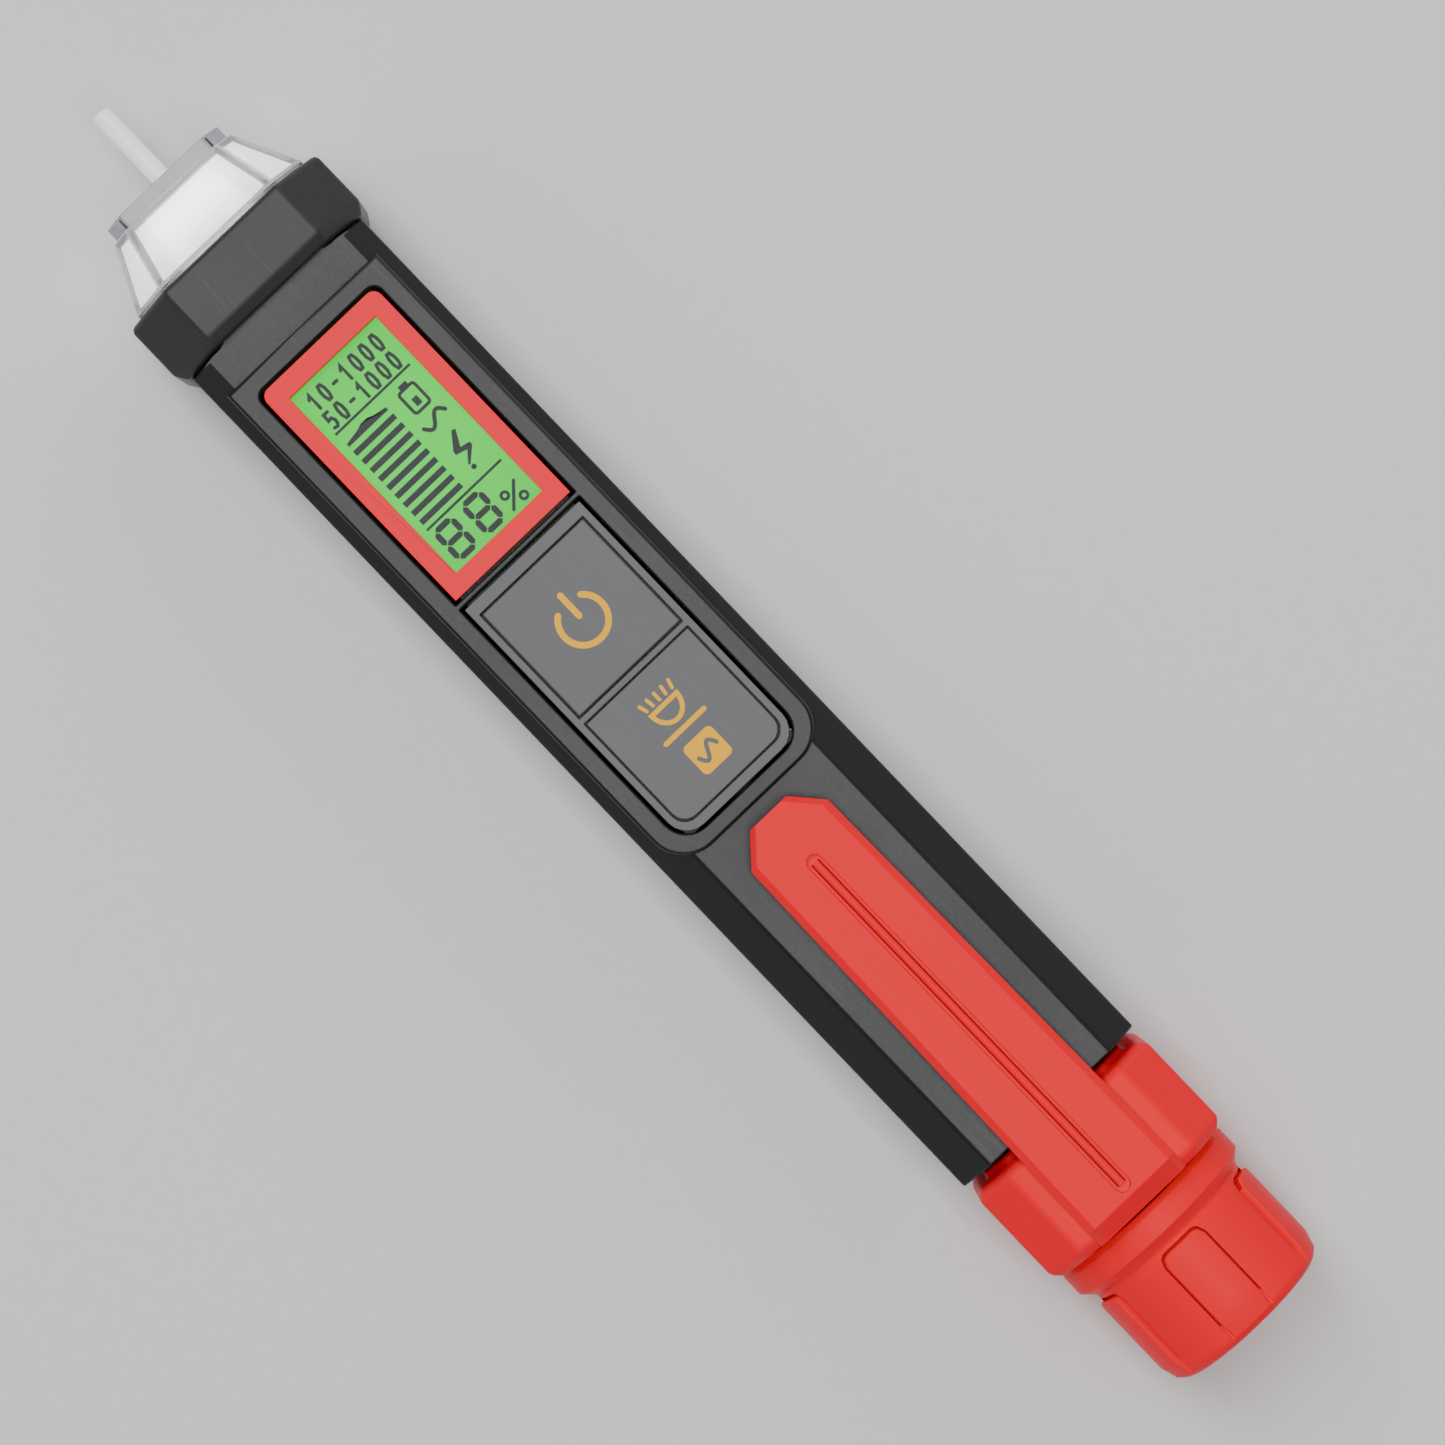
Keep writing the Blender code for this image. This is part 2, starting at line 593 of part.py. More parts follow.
def make_upper_housing():
    """Face half: raised surround, window for display and keypad, two screw bosses."""
    upper = shell_blank("upper_housing")
    bm = bmesh.new()
    outline = rounded_rectangle(RECESS_REAR, FRAME_REAR, FRAME_HALF_WIDTH, 0.0, FRAME_CORNER)
    add_slab(bm, outline, BODY_HALF_HEIGHT - BODY_CHAMFER / 2, FRAME_TOP)
    join(upper, "add_surround", bm)
    hollow(upper, "upper")
    bm = bmesh.new()
    for side in (-1, 1):
        add_post(bm, SCREW_X, side * SCREW_Y, GAP / 2, -FLOOR_Z + 0.2,
                 SCREW_SHANK_RADIUS + GAP + BOSS_WALL)
    join(upper, "add_upper_bosses", bm)
    bm = bmesh.new()
    for front, rear, front_corner, rear_corner in (
            (BEZEL_FRONT, BEZEL_REAR, 1.0, 0.0), (PANEL_FRONT, PANEL_REAR, 0.0, PANEL_CORNER + GAP)):
        outline = rounded_rectangle(front - GAP, rear + GAP, BEZEL_HALF_WIDTH + GAP, front_corner,
                                    rear_corner)
        add_slab(bm, outline, 0.0, FRAME_TOP + 2.0)
    cut(upper, "cut_face_windows", bm)
    bm = bmesh.new()
    add_box(bm, (BODY_FRONT - 3.0, -BODY_HALF_WIDTH, RECESS_TOP),
            (RECESS_REAR, BODY_HALF_WIDTH, FRAME_TOP + 1.0))
    cut(upper, "cut_recess", bm)
    bm = bmesh.new()
    for side in (-1, 1):
        add_post(bm, SCREW_X, side * SCREW_Y, -1.0, SCREW_REACH + GAP, SCREW_SHANK_RADIUS + GAP)
    cut(upper, "cut_upper_pilots", bm)
    bm = bmesh.new()
    add_box(bm, (0.0, -30.0, -30.0), (LENGTH, 30.0, GAP / 2))
    cut(upper, "cut_lower_half", bm)


def make_lower_housing():
    """Back half: screw wells and sound holes."""
    lower = shell_blank("lower_housing")
    hollow(lower, "lower")
    boss_radius = SCREW_HEAD_RADIUS + GAP + BOSS_WALL
    bm = bmesh.new()
    for side in (-1, 1):
        add_post(bm, SCREW_X, side * SCREW_Y, FLOOR_Z - 0.2, -GAP / 2, boss_radius)
    join(lower, "add_lower_bosses", bm)
    back = -BODY_HALF_HEIGHT
    bm = bmesh.new()
    for side in (-1, 1):
        add_post(bm, SCREW_X, side * SCREW_Y, back - 1.0, back + SCREW_HEAD_DEPTH + GAP,
                 SCREW_HEAD_RADIUS + GAP)
    cut(lower, "cut_screw_wells", bm)
    bm = bmesh.new()
    for side in (-1, 1):
        add_post(bm, SCREW_X, side * SCREW_Y, back, 1.0, SCREW_SHANK_RADIUS + GAP)
    cut(lower, "cut_screw_holes", bm)
    bm = bmesh.new()
    add_post(bm, BUZZER_X, 0.0, back - 1.0, FLOOR_Z + 0.2, SOUND_HOLE_RADIUS, 8)
    for i in range(SOUND_HOLES):
        angle = 2 * math.pi * i / SOUND_HOLES
        add_post(bm, BUZZER_X + SOUND_HOLE_RING * math.cos(angle), SOUND_HOLE_RING * math.sin(angle),
                 back - 1.0, FLOOR_Z + 0.2, SOUND_HOLE_RADIUS, 8)
    cut(lower, "cut_sound_holes", bm)
    bm = bmesh.new()
    add_box(bm, (0.0, -30.0, -GAP / 2), (LENGTH, 30.0, 30.0))
    cut(lower, "cut_upper_half", bm)


def make_screws():
    """Two pan-head screws from the back."""
    head_top = -BODY_HALF_HEIGHT + SCREW_HEAD_DEPTH
    for label, side in (("left", 1), ("right", -1)):
        bm = bmesh.new()
        add_post(bm, SCREW_X, side * SCREW_Y, head_top - SCREW_HEAD_HEIGHT, head_top,
                 SCREW_HEAD_RADIUS)
        screw = finish("housing_screw_" + label, bm, STEEL)
        bm = bmesh.new()
        add_post(bm, SCREW_X, side * SCREW_Y, head_top - 0.3, SCREW_REACH, SCREW_SHANK_RADIUS, 12)
        join(screw, "add_shank_" + label, bm)


# ---------------------------------------------------------------- face

def make_display():
    """Bezel, lens, glass, backlight and the contact strip under the glass."""
    bm = bmesh.new()
    outline = rounded_rectangle(BEZEL_FRONT, BEZEL_REAR, BEZEL_HALF_WIDTH, 1.0, 0.0)
    add_slab(bm, outline, BEZEL_BOTTOM, FRAME_TOP)
    bezel = finish("display_bezel", bm, RED_PLASTIC)
    x0, x1 = BEZEL_FRONT + BEZEL_MARGIN_X, BEZEL_REAR - BEZEL_MARGIN_X + 0.2
    y1 = BEZEL_HALF_WIDTH - BEZEL_MARGIN_Y
    bm = bmesh.new()
    add_box(bm, (x0, -y1, BEZEL_BOTTOM - 1.0), (x1, y1, FRAME_TOP + 1.0))
    cut(bezel, "cut_bezel_window", bm)
    box("display_window", (x0 + GAP, -y1 + GAP, BEZEL_BOTTOM), (x1 - GAP, y1 - GAP, FRAME_TOP - GAP),
        CLEAR_PLASTIC)
    glass_y = BEZEL_HALF_WIDTH - 0.6
    box("lcd_glass", (BEZEL_FRONT + 1.0, -glass_y, GLASS_BOTTOM),
        (BEZEL_REAR - 1.0, glass_y, GLASS_BOTTOM + GLASS_THICKNESS), LCD_GREEN)
    strip_y = glass_y - 1.2
    light_top = LIGHT_BOTTOM + BACKLIGHT_THICKNESS
    box("lcd_backlight", (x0, -strip_y, LIGHT_BOTTOM), (x1, strip_y - GAP, light_top), WHITE_PLASTIC)
    box("zebra_strip", (x0, strip_y, LIGHT_BOTTOM), (x1, glass_y, light_top), RUBBER)


def make_keypad():
    """Keypad panel with its two keys, and the switch and plunger under each."""
    bm = bmesh.new()
    outline = rounded_rectangle(PANEL_FRONT, PANEL_REAR, PANEL_HALF_WIDTH, 0.0, PANEL_CORNER)
    add_slab(bm, outline, FRAME_TOP - 0.1 - PANEL_THICKNESS, FRAME_TOP - 0.1)
    panel = finish("keypad_panel", bm, GREY_PLASTIC)
    bm = bmesh.new()
    for front, rear_corner in ((POWER_KEY_FRONT, 0.0), (TORCH_KEY_FRONT, PANEL_CORNER - 0.8)):
        outline = rounded_rectangle(front - KEY_GAP, front + KEY_LENGTH + KEY_GAP,
                                    KEY_HALF_WIDTH + KEY_GAP, 0.0, rear_corner)
        add_slab(bm, outline, FRAME_TOP - 3.0, FRAME_TOP + 1.0)
    cut(panel, "cut_key_windows", bm)
    for label, front, rear_corner in (("power", POWER_KEY_FRONT, 0.0),
                                      ("torch", TORCH_KEY_FRONT, PANEL_CORNER - 0.8)):
        middle = front + KEY_LENGTH / 2
        origin = (middle, 0.0, KEY_BOTTOM)
        bm = bmesh.new()
        outline = rounded_rectangle(front, front + KEY_LENGTH, KEY_HALF_WIDTH, 0.0, rear_corner)
        add_slab(bm, outline, KEY_BOTTOM, FRAME_TOP)
        key = finish(label + "_button", bm, GREY_PLASTIC, origin)
        bm = bmesh.new()
        add_post(bm, middle, 0.0, KEY_STEM_BOTTOM, KEY_BOTTOM + 0.2, 2 * PLUNGER_RADIUS)
        join(key, "add_stem_" + label, bm)
        bm = bmesh.new()
        add_post(bm, middle, 0.0, PLUNGER_BOTTOM, PLUNGER_TOP, PLUNGER_RADIUS)
        finish("plunger_" + label, bm, CHIP_BLACK, origin)
        half = SWITCH_SIDE / 2
        switch = box("switch_" + label, (middle - half, -half, SWITCH_BOTTOM),
                     (middle + half, half, SWITCH_TOP), STEEL)
        bm = bmesh.new()
        add_post(bm, middle, 0.0, PLUNGER_BOTTOM - KEY_TRAVEL - 0.1, SWITCH_TOP + 1.0,
                 PLUNGER_RADIUS + GAP)
        cut(switch, "cut_switch_well_" + label, bm)


# ---------------------------------------------------------------- electronics

def make_electronics():
    """Circuit board, controller chip and buzzer."""
    box("main_pcb", (BOARD_FRONT, -BOARD_HALF_WIDTH, BOARD_BOTTOM),
        (BOARD_REAR, BOARD_HALF_WIDTH, BOARD_TOP), BOARD_GREEN)
    chip_x = BOARD_FRONT + 16.0
    chip_top = BOARD_BOTTOM - GAP
    box("microcontroller", (chip_x, -CHIP_SIDE / 2, chip_top - CHIP_HEIGHT),
        (chip_x + CHIP_SIDE, CHIP_SIDE / 2, chip_top), CHIP_BLACK)
    bm = bmesh.new()
    bottom = FLOOR_Z + GAP
    add_post(bm, BUZZER_X, 0.0, bottom, bottom + BUZZER_HEIGHT, BUZZER_RADIUS, 24)
    buzzer = finish("buzzer", bm, CHIP_BLACK)
    bm = bmesh.new()
    add_post(bm, BUZZER_X, 0.0, bottom - 1.0, bottom + 1.5, 2 * SOUND_HOLE_RADIUS)
    cut(buzzer, "cut_buzzer_port", bm)


# ---------------------------------------------------------------- power store

def cell(name, front):
    """One AAA cell, its positive end towards the nose."""
    tail = front + CELL_LENGTH
    shoulder = front + CELL_NUB_LENGTH
    turned(name, [(front, 0.0), (front, CELL_NUB_RADIUS), (shoulder, CELL_NUB_RADIUS),
                  (shoulder, CELL_RADIUS - CELL_EDGE), (shoulder + CELL_EDGE, CELL_RADIUS),
                  (tail - CELL_EDGE, CELL_RADIUS), (tail, CELL_RADIUS - CELL_EDGE), (tail, 0.0)],
           CELL_SLEEVE)


def make_power_store():
    """Battery sleeve with its threaded neck, two cells, contact and return strip."""
    flange_front = BODY_REAR - WALL - GAP - SLEEVE_FLANGE_LENGTH
    bm = bmesh.new()
    add_turned(bm, [
        (SLEEVE_FRONT, CONTACT_STEM_RADIUS + GAP), (SLEEVE_FRONT, SLEEVE_RADIUS),
        (flange_front, SLEEVE_RADIUS), (flange_front, SLEEVE_FLANGE_RADIUS),
        (flange_front + SLEEVE_FLANGE_LENGTH, SLEEVE_FLANGE_RADIUS),
        (flange_front + SLEEVE_FLANGE_LENGTH, NECK_RADIUS), (NECK_REAR, NECK_RADIUS),
        (NECK_REAR + 0.5, THREAD_CORE_RADIUS), (THREAD_REAR, THREAD_CORE_RADIUS),
        (THREAD_REAR, CELL_BORE_RADIUS), (SLEEVE_FRONT + SLEEVE_END_WALL, CELL_BORE_RADIUS),
        (SLEEVE_FRONT + SLEEVE_END_WALL, CONTACT_STEM_RADIUS + GAP),
    ])
    sleeve = finish("battery_sleeve", bm, BLACK_PLASTIC, smooth=True)
    half_base, half_crest = RIDGE_BASE / 2, RIDGE_CREST / 2
    ridge = [(-half_base, THREAD_CORE_RADIUS - 0.3), (half_base, THREAD_CORE_RADIUS - 0.3),
             (half_crest, THREAD_CREST_RADIUS), (-half_crest, THREAD_CREST_RADIUS)]
    bm = bmesh.new()
    add_helix(bm, NECK_REAR + 0.6 + half_base, THREAD_PITCH, male_turns(), ridge)
    join(sleeve, "add_neck_thread", bm)
    cell("battery_front", FRONT_CELL_FRONT)
    cell("battery_rear", REAR_CELL_FRONT)
    turned("front_contact", [
        (SLEEVE_FRONT - 1.6, 0.0), (SLEEVE_FRONT - 1.6, CONTACT_STEM_RADIUS),
        (CONTACT_FRONT, CONTACT_STEM_RADIUS), (CONTACT_FRONT, CELL_RADIUS - 0.5),
        (CONTACT_FRONT + CONTACT_THICKNESS, CELL_RADIUS - 0.5),
        (CONTACT_FRONT + CONTACT_THICKNESS, 0.0),
    ], BRASS)
    strip_y = SLEEVE_RADIUS + GAP
    box("negative_strip", (SLEEVE_FRONT + 1.0, strip_y, -STRIP_WIDTH / 2),
        (flange_front - GAP, strip_y + STRIP_THICKNESS, STRIP_WIDTH / 2), BRASS)


def male_turns():
    """Turns of ridge that the neck's thread has room for, whole 32nds of a turn."""
    room = THREAD_REAR - (NECK_REAR + 0.6) - RIDGE_BASE - 0.2
    return min(THREAD_TURNS, math.floor(room / THREAD_PITCH * ROUND) / ROUND)


# ---------------------------------------------------------------- clip

def make_clip():
    """Clip ring round the neck, and the springy arm above it."""
    w, h = CLIP_HALF_WIDTH, REST_HEIGHT
    full = octagon(w, h, CLIP_CHAMFER)
    eased = inset_octagon(w, h, CLIP_CHAMFER, CLIP_EDGE)
    bm = bmesh.new()
    add_loft(bm, [(CLIP_RING_FRONT, eased), (CLIP_RING_FRONT + CLIP_NOSE_LENGTH, eased),
                  (CLIP_RING_FRONT + CLIP_NOSE_LENGTH + 1.0, full),
                  (CLIP_RING_REAR - CLIP_EDGE, full), (CLIP_RING_REAR, eased)])
    ring = finish("clip_ring", bm, RED_PLASTIC)
    bm = bmesh.new()
    add_turned(bm, [(CLIP_RING_FRONT - 1.0, 0.0), (CLIP_RING_FRONT - 1.0, NECK_RADIUS + GAP),
                    (CLIP_RING_REAR + 1.0, NECK_RADIUS + GAP), (CLIP_RING_REAR + 1.0, 0.0)])
    cut(ring, "cut_ring_bore", bm)

    hinge_x = CLIP_RING_REAR - ARM_HINGE_BACK
    corner = ARM_TIP + (ARM_CORNER_HALF_WIDTH - ARM_TIP_HALF_WIDTH) * 1.13
    top = ARM_BOTTOM + ARM_THICKNESS
    foot = BODY_HALF_HEIGHT + ARM_FOOT_GAP

    def arm_section(half_width, bottom):
        """Flat bar with its two upper edges chamfered."""
        w, e = half_width, ARM_EDGE
        return [(w, bottom), (w, top - e), (w - e, top), (-w + e, top), (-w, top - e), (-w, bottom)]

    def half_width_at(x):
        """The arm widens evenly from its corner to its root."""
        share = (x - corner) / (ARM_REAR - corner)
        return ARM_CORNER_HALF_WIDTH + (ARM_ROOT_HALF_WIDTH - ARM_CORNER_HALF_WIDTH) * share

    stations = [(ARM_TIP, arm_section(ARM_TIP_HALF_WIDTH, ARM_BOTTOM)),
                (corner, arm_section(ARM_CORNER_HALF_WIDTH, ARM_BOTTOM))]
    for ahead, bottom in ((0.8, foot), (2.4, foot), (4.0, ARM_BOTTOM)):
        stations.append((corner + ahead, arm_section(half_width_at(corner + ahead), bottom)))
    stations.append((ARM_REAR, arm_section(ARM_ROOT_HALF_WIDTH, ARM_BOTTOM)))
    bm = bmesh.new()
    add_loft(bm, stations)
    finish("clip_arm", bm, RED_PLASTIC, (hinge_x, 0.0, ARM_BOTTOM))


# ---------------------------------------------------------------- cap

def make_cap():
    """Screw cap with pads, inner thread, seal, contact and spring."""
    c = CAP_FLANGE_CHAMFER
    flange_rear = CAP_FRONT + CAP_FLANGE_LENGTH
    end_round = [(LENGTH - CAP_END_ROUND * (1 - math.sin(a)),
                  CAP_CORE_RADIUS - CAP_END_ROUND * (1 - math.cos(a)))
                 for a in (math.radians(30.0 * i) for i in range(4))]
    seat_rear = CAP_FRONT + SEAL_SEAT_LENGTH
    bm = bmesh.new()
    add_turned(bm, [
        (CAP_FRONT, SEAL_SEAT_RADIUS), (CAP_FRONT, CAP_FLANGE_RADIUS - c),
        (CAP_FRONT + c, CAP_FLANGE_RADIUS), (flange_rear - c, CAP_FLANGE_RADIUS),
        (flange_rear, CAP_CORE_RADIUS), *end_round, (LENGTH, 0.0), (CAP_INNER_END, 0.0),
        (CAP_INNER_END, CAP_BORE_RADIUS), (seat_rear, CAP_BORE_RADIUS), (seat_rear, SEAL_SEAT_RADIUS),
    ])
    cap = finish("cap_shell", bm, RED_PLASTIC, (CAP_FRONT, 0.0, 0.0), smooth=True)
    pad_front = flange_rear + CAP_PAD_SETBACK
    bm = bmesh.new()
    for i in range(CAP_PADS):
        part = bmesh.new()
        sunk = CAP_CORE_RADIUS - 0.4
        add_turned(part, [(pad_front, sunk), (pad_front, CAP_CORE_RADIUS),
                          (pad_front + 0.4, CAP_GRIP_RADIUS), (LENGTH - CAP_END_ROUND, CAP_GRIP_RADIUS),
                          (LENGTH - 0.5, CAP_GRIP_RADIUS - 0.6), (LENGTH - 0.5, sunk - 0.4)],
                   sides=4, angle=CAP_PAD_ANGLE)
        bmesh.ops.rotate(part, verts=part.verts, cent=(0.0, 0.0, 0.0),
                         matrix=Matrix.Rotation(2 * math.pi * i / CAP_PADS, 3, "X"))
        piece = bpy.data.meshes.new("pad")
        part.to_mesh(piece)
        part.free()
        bm.from_mesh(piece)
        bpy.data.meshes.remove(piece)
    join(cap, "add_cap_pads", bm)
    half_base, half_crest = RIDGE_BASE / 2, RIDGE_CREST / 2
    ridge = [(-half_base, CAP_BORE_RADIUS + 0.3), (-half_crest, CAP_RIDGE_RADIUS),
             (half_crest, CAP_RIDGE_RADIUS), (half_base, CAP_BORE_RADIUS + 0.3)]
    bm = bmesh.new()
    add_helix(bm, NECK_REAR + 0.6 + half_base + THREAD_PITCH / 2, THREAD_PITCH, 1.5, ridge)
    join(cap, "add_cap_thread", bm)

    ring_r = NECK_RADIUS + GAP + SEAL_SECTION_RADIUS
    ring_x = CAP_FRONT + SEAL_SEAT_LENGTH / 2
    turned("o_ring", [(ring_x + SEAL_SECTION_RADIUS * math.cos(a), ring_r + SEAL_SECTION_RADIUS * math.sin(a))
                      for a in (math.radians(45.0 * i) for i in range(8))], RUBBER)
    contact_rear = CAP_INNER_END - GAP
    contact_front = contact_rear - CONTACT_THICKNESS
    turned("cap_contact", [(contact_front, 0.0), (contact_front, CAP_BORE_RADIUS - 0.7),
                           (contact_rear, CAP_BORE_RADIUS - 0.7), (contact_rear, 0.0)], BRASS)
    wire = SPRING_WIRE_RADIUS
    start = REAR_CELL_TAIL + GAP + 0.1 + wire
    end = contact_front - GAP - wire
    section = [(wire * math.cos(a), SPRING_RADIUS + wire * math.sin(a))
               for a in (math.radians(60.0 * i) for i in range(6))]
    bm = bmesh.new()
    add_helix(bm, start, (end - start) / SPRING_TURNS, SPRING_TURNS, section, 20)
    finish("cap_spring", bm, STEEL, (CAP_FRONT, 0.0, 0.0), smooth=True)


make_nose()
make_collar()
make_upper_housing()
make_lower_housing()
make_screws()
make_display()
make_keypad()
make_electronics()
make_power_store()
make_clip()
make_cap()
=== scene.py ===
"""Looks of a pen-style non contact voltage tester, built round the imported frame.

The tool lies on its back: +X runs from the probe's tip to the screw cap and +Z out of the
display. Places come from the frame's boxes, and each sub-assembly is a class with its sizes.
"""

import logging
import math
from dataclasses import dataclass, field
from enum import Enum
from typing import Callable, Optional, Sequence, Union

import bmesh
import bpy
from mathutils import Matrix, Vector


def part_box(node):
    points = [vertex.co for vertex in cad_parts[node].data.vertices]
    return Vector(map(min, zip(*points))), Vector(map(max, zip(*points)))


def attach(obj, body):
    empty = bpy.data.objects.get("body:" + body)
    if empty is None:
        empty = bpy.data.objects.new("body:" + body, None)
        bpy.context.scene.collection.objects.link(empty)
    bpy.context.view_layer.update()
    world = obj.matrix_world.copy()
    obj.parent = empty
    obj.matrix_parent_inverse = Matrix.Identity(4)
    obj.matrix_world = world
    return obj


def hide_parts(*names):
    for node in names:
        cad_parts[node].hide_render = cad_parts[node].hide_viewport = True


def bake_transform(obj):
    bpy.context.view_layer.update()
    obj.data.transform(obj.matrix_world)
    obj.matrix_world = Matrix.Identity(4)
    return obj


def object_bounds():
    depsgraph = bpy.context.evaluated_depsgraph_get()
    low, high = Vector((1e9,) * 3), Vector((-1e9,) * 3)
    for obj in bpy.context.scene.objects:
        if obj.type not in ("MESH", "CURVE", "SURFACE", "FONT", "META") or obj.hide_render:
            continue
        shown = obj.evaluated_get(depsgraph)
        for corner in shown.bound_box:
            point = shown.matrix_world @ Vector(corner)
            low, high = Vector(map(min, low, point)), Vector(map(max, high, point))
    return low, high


LOG = logging.getLogger("voltage_tester")
MM = 0.001
GAP = 0.3 * MM  # air between a piece and the opening it sits in
LEVEL = 1e-6  # how near a height counts as the same
Colour = tuple[float, float, float]
Point = tuple[float, float]
Outline = list[Point]
PlaceTest = Callable[[Vector], bool]

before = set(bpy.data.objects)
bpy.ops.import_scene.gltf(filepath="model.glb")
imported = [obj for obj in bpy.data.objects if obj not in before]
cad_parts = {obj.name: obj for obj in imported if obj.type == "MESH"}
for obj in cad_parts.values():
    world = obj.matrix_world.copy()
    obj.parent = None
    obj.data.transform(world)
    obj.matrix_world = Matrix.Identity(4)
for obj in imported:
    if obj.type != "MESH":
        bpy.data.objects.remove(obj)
CAD_BOX = [list(corner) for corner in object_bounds()]


class Body(Enum):
    """The moving bodies that pieces ride on."""

    HOUSING = "housing"
    POWER_KEY = "power_key"
    TORCH_KEY = "torch_key"
    CLIP = "clip"
    SEAL = "cap_seal"
    CAP = "cap"


# ---------------------------------------------------------------- shader maths

Number = Union[float, int, "Value"]


class Value:
    """A shader socket that takes part in Python arithmetic."""

    def __init__(self, graph: "Graph", socket: bpy.types.NodeSocket) -> None:
        """Wrap one output socket of a graph."""
        self.graph = graph
        self.socket = socket

    def _math(self, operation: str, first: Number, second: Number) -> "Value":
        """Add a Math node for two operands."""
        return self.graph.node("ShaderNodeMath", {"operation": operation}, {0: first, 1: second})

    def __add__(self, other: Number) -> "Value":
        """Sum."""
        return self._math("ADD", self, other)

    def __radd__(self, other: Number) -> "Value":
        """Sum, reflected."""
        return self._math("ADD", other, self)

    def __sub__(self, other: Number) -> "Value":
        """Difference."""
        return self._math("SUBTRACT", self, other)

    def __rsub__(self, other: Number) -> "Value":
        """Difference, reflected."""
        return self._math("SUBTRACT", other, self)

    def __mul__(self, other: Number) -> "Value":
        """Product."""
        return self._math("MULTIPLY", self, other)

    def __rmul__(self, other: Number) -> "Value":
        """Product, reflected."""
        return self._math("MULTIPLY", other, self)

    def __gt__(self, other: Number) -> "Value":
        """One where greater, else nought."""
        return self._math("GREATER_THAN", self, other)

    def __lt__(self, other: Number) -> "Value":
        """One where less, else nought."""
        return self._math("LESS_THAN", self, other)


class Graph:
    """One material's node tree, with its Principled shader and Object coordinates."""

    def __init__(self, name: str) -> None:
        """Start an empty material with a Principled shader.

        Args:
            name: the material's name.
        """
        self.material = bpy.data.materials.new(name)
        self.material.use_nodes = True
        self.tree = self.material.node_tree
        self.tree.nodes.clear()
        self.shader = self.tree.nodes.new("ShaderNodeBsdfPrincipled")
        output = self.tree.nodes.new("ShaderNodeOutputMaterial")
        self.tree.links.new(self.shader.outputs[0], output.inputs["Surface"])
        self.place = self.node("ShaderNodeTexCoord", {}, {}, "Object")

    def node(self, kind: str, settings: dict, values: dict, output: Union[int, str] = 0) -> Value:
        """Add any node: settings first, then socket values or links.

        Args:
            kind: the node's type name.
            settings: attributes of the node.
            values: socket name or number to a plain value or a Value.
            output: which output to hand back.

        Returns:
            The chosen output socket, wrapped.
        """
        made = self.tree.nodes.new(kind)
        for key, setting in settings.items():
            setattr(made, key, setting)
        for key, value in values.items():
            self.feed(made.inputs[key], value)
        return Value(self, made.outputs[output])

    def feed(self, socket: bpy.types.NodeSocket, value: object) -> None:
        """Link a Value to a socket, or set a plain value on it."""
        if isinstance(value, Value):
            self.tree.links.new(value.socket, socket)
        else:
            socket.default_value = value

    def put(self, **values: object) -> None:
        """Feed the Principled shader; underscores stand for spaces."""
        for key, value in values.items():
            self.feed(self.shader.inputs[key.replace("_", " ")], value)

    def noise(self, scale: float, detail: float = 2.0, roughness: float = 0.5,
              at: Optional[Value] = None) -> Value:
        """Add a noise texture.

        Args:
            scale: features in a metre.
            detail: octaves.
            roughness: how much the finer octaves count.
            at: coordinates, by default the object's.

        Returns:
            The noise, from 0 to 1.
        """
        values = {"Vector": at or self.place, "Scale": scale, "Detail": detail,
                  "Roughness": roughness}
        return self.node("ShaderNodeTexNoise", {}, values)

    def stretched(self, scale: tuple[float, float, float]) -> Value:
        """Object coordinates scaled differently along each axis."""
        return self.node("ShaderNodeMapping", {}, {"Vector": self.place, "Scale": scale})

    def mix(self, factor: Number, first: object, second: object) -> Value:
        """Blend two colours."""
        return self.node("ShaderNodeMix", {"data_type": "RGBA"},
                         {0: factor, 6: first, 7: second}, 2)

    def ramp(self, factor: Value, low: float, high: float) -> Value:
        """Stretch a value between two limits to 0..1."""
        return self.node("ShaderNodeMapRange", {},
                         {"Value": factor, "From Min": low, "From Max": high})

    def along(self, axis: str) -> Value:
        """One coordinate of the object's own space."""
        return self.node("ShaderNodeSeparateXYZ", {}, {0: self.place}, axis)

    def bump(self, height: Value, depth: float, under: Optional[Value] = None) -> Value:
        """Turn a height into a normal.

        Args:
            height: from 0 to 1.
            depth: metres that 1 stands for.
            under: a coarser normal that this one lies on.

        Returns:
            The bumped normal.
        """
        values = {"Height": height, "Distance": depth, "Strength": 1.0}
        if under is not None:
            values["Normal"] = under
        return self.node("ShaderNodeBump", {}, values)


def rgba(colour: Colour, shade: float = 1.0) -> tuple[float, float, float, float]:
    """A colour with full alpha, darkened or lightened by a factor."""
    return (*(min(channel * shade, 1.0) for channel in colour), 1.0)


# ---------------------------------------------------------------- finishes

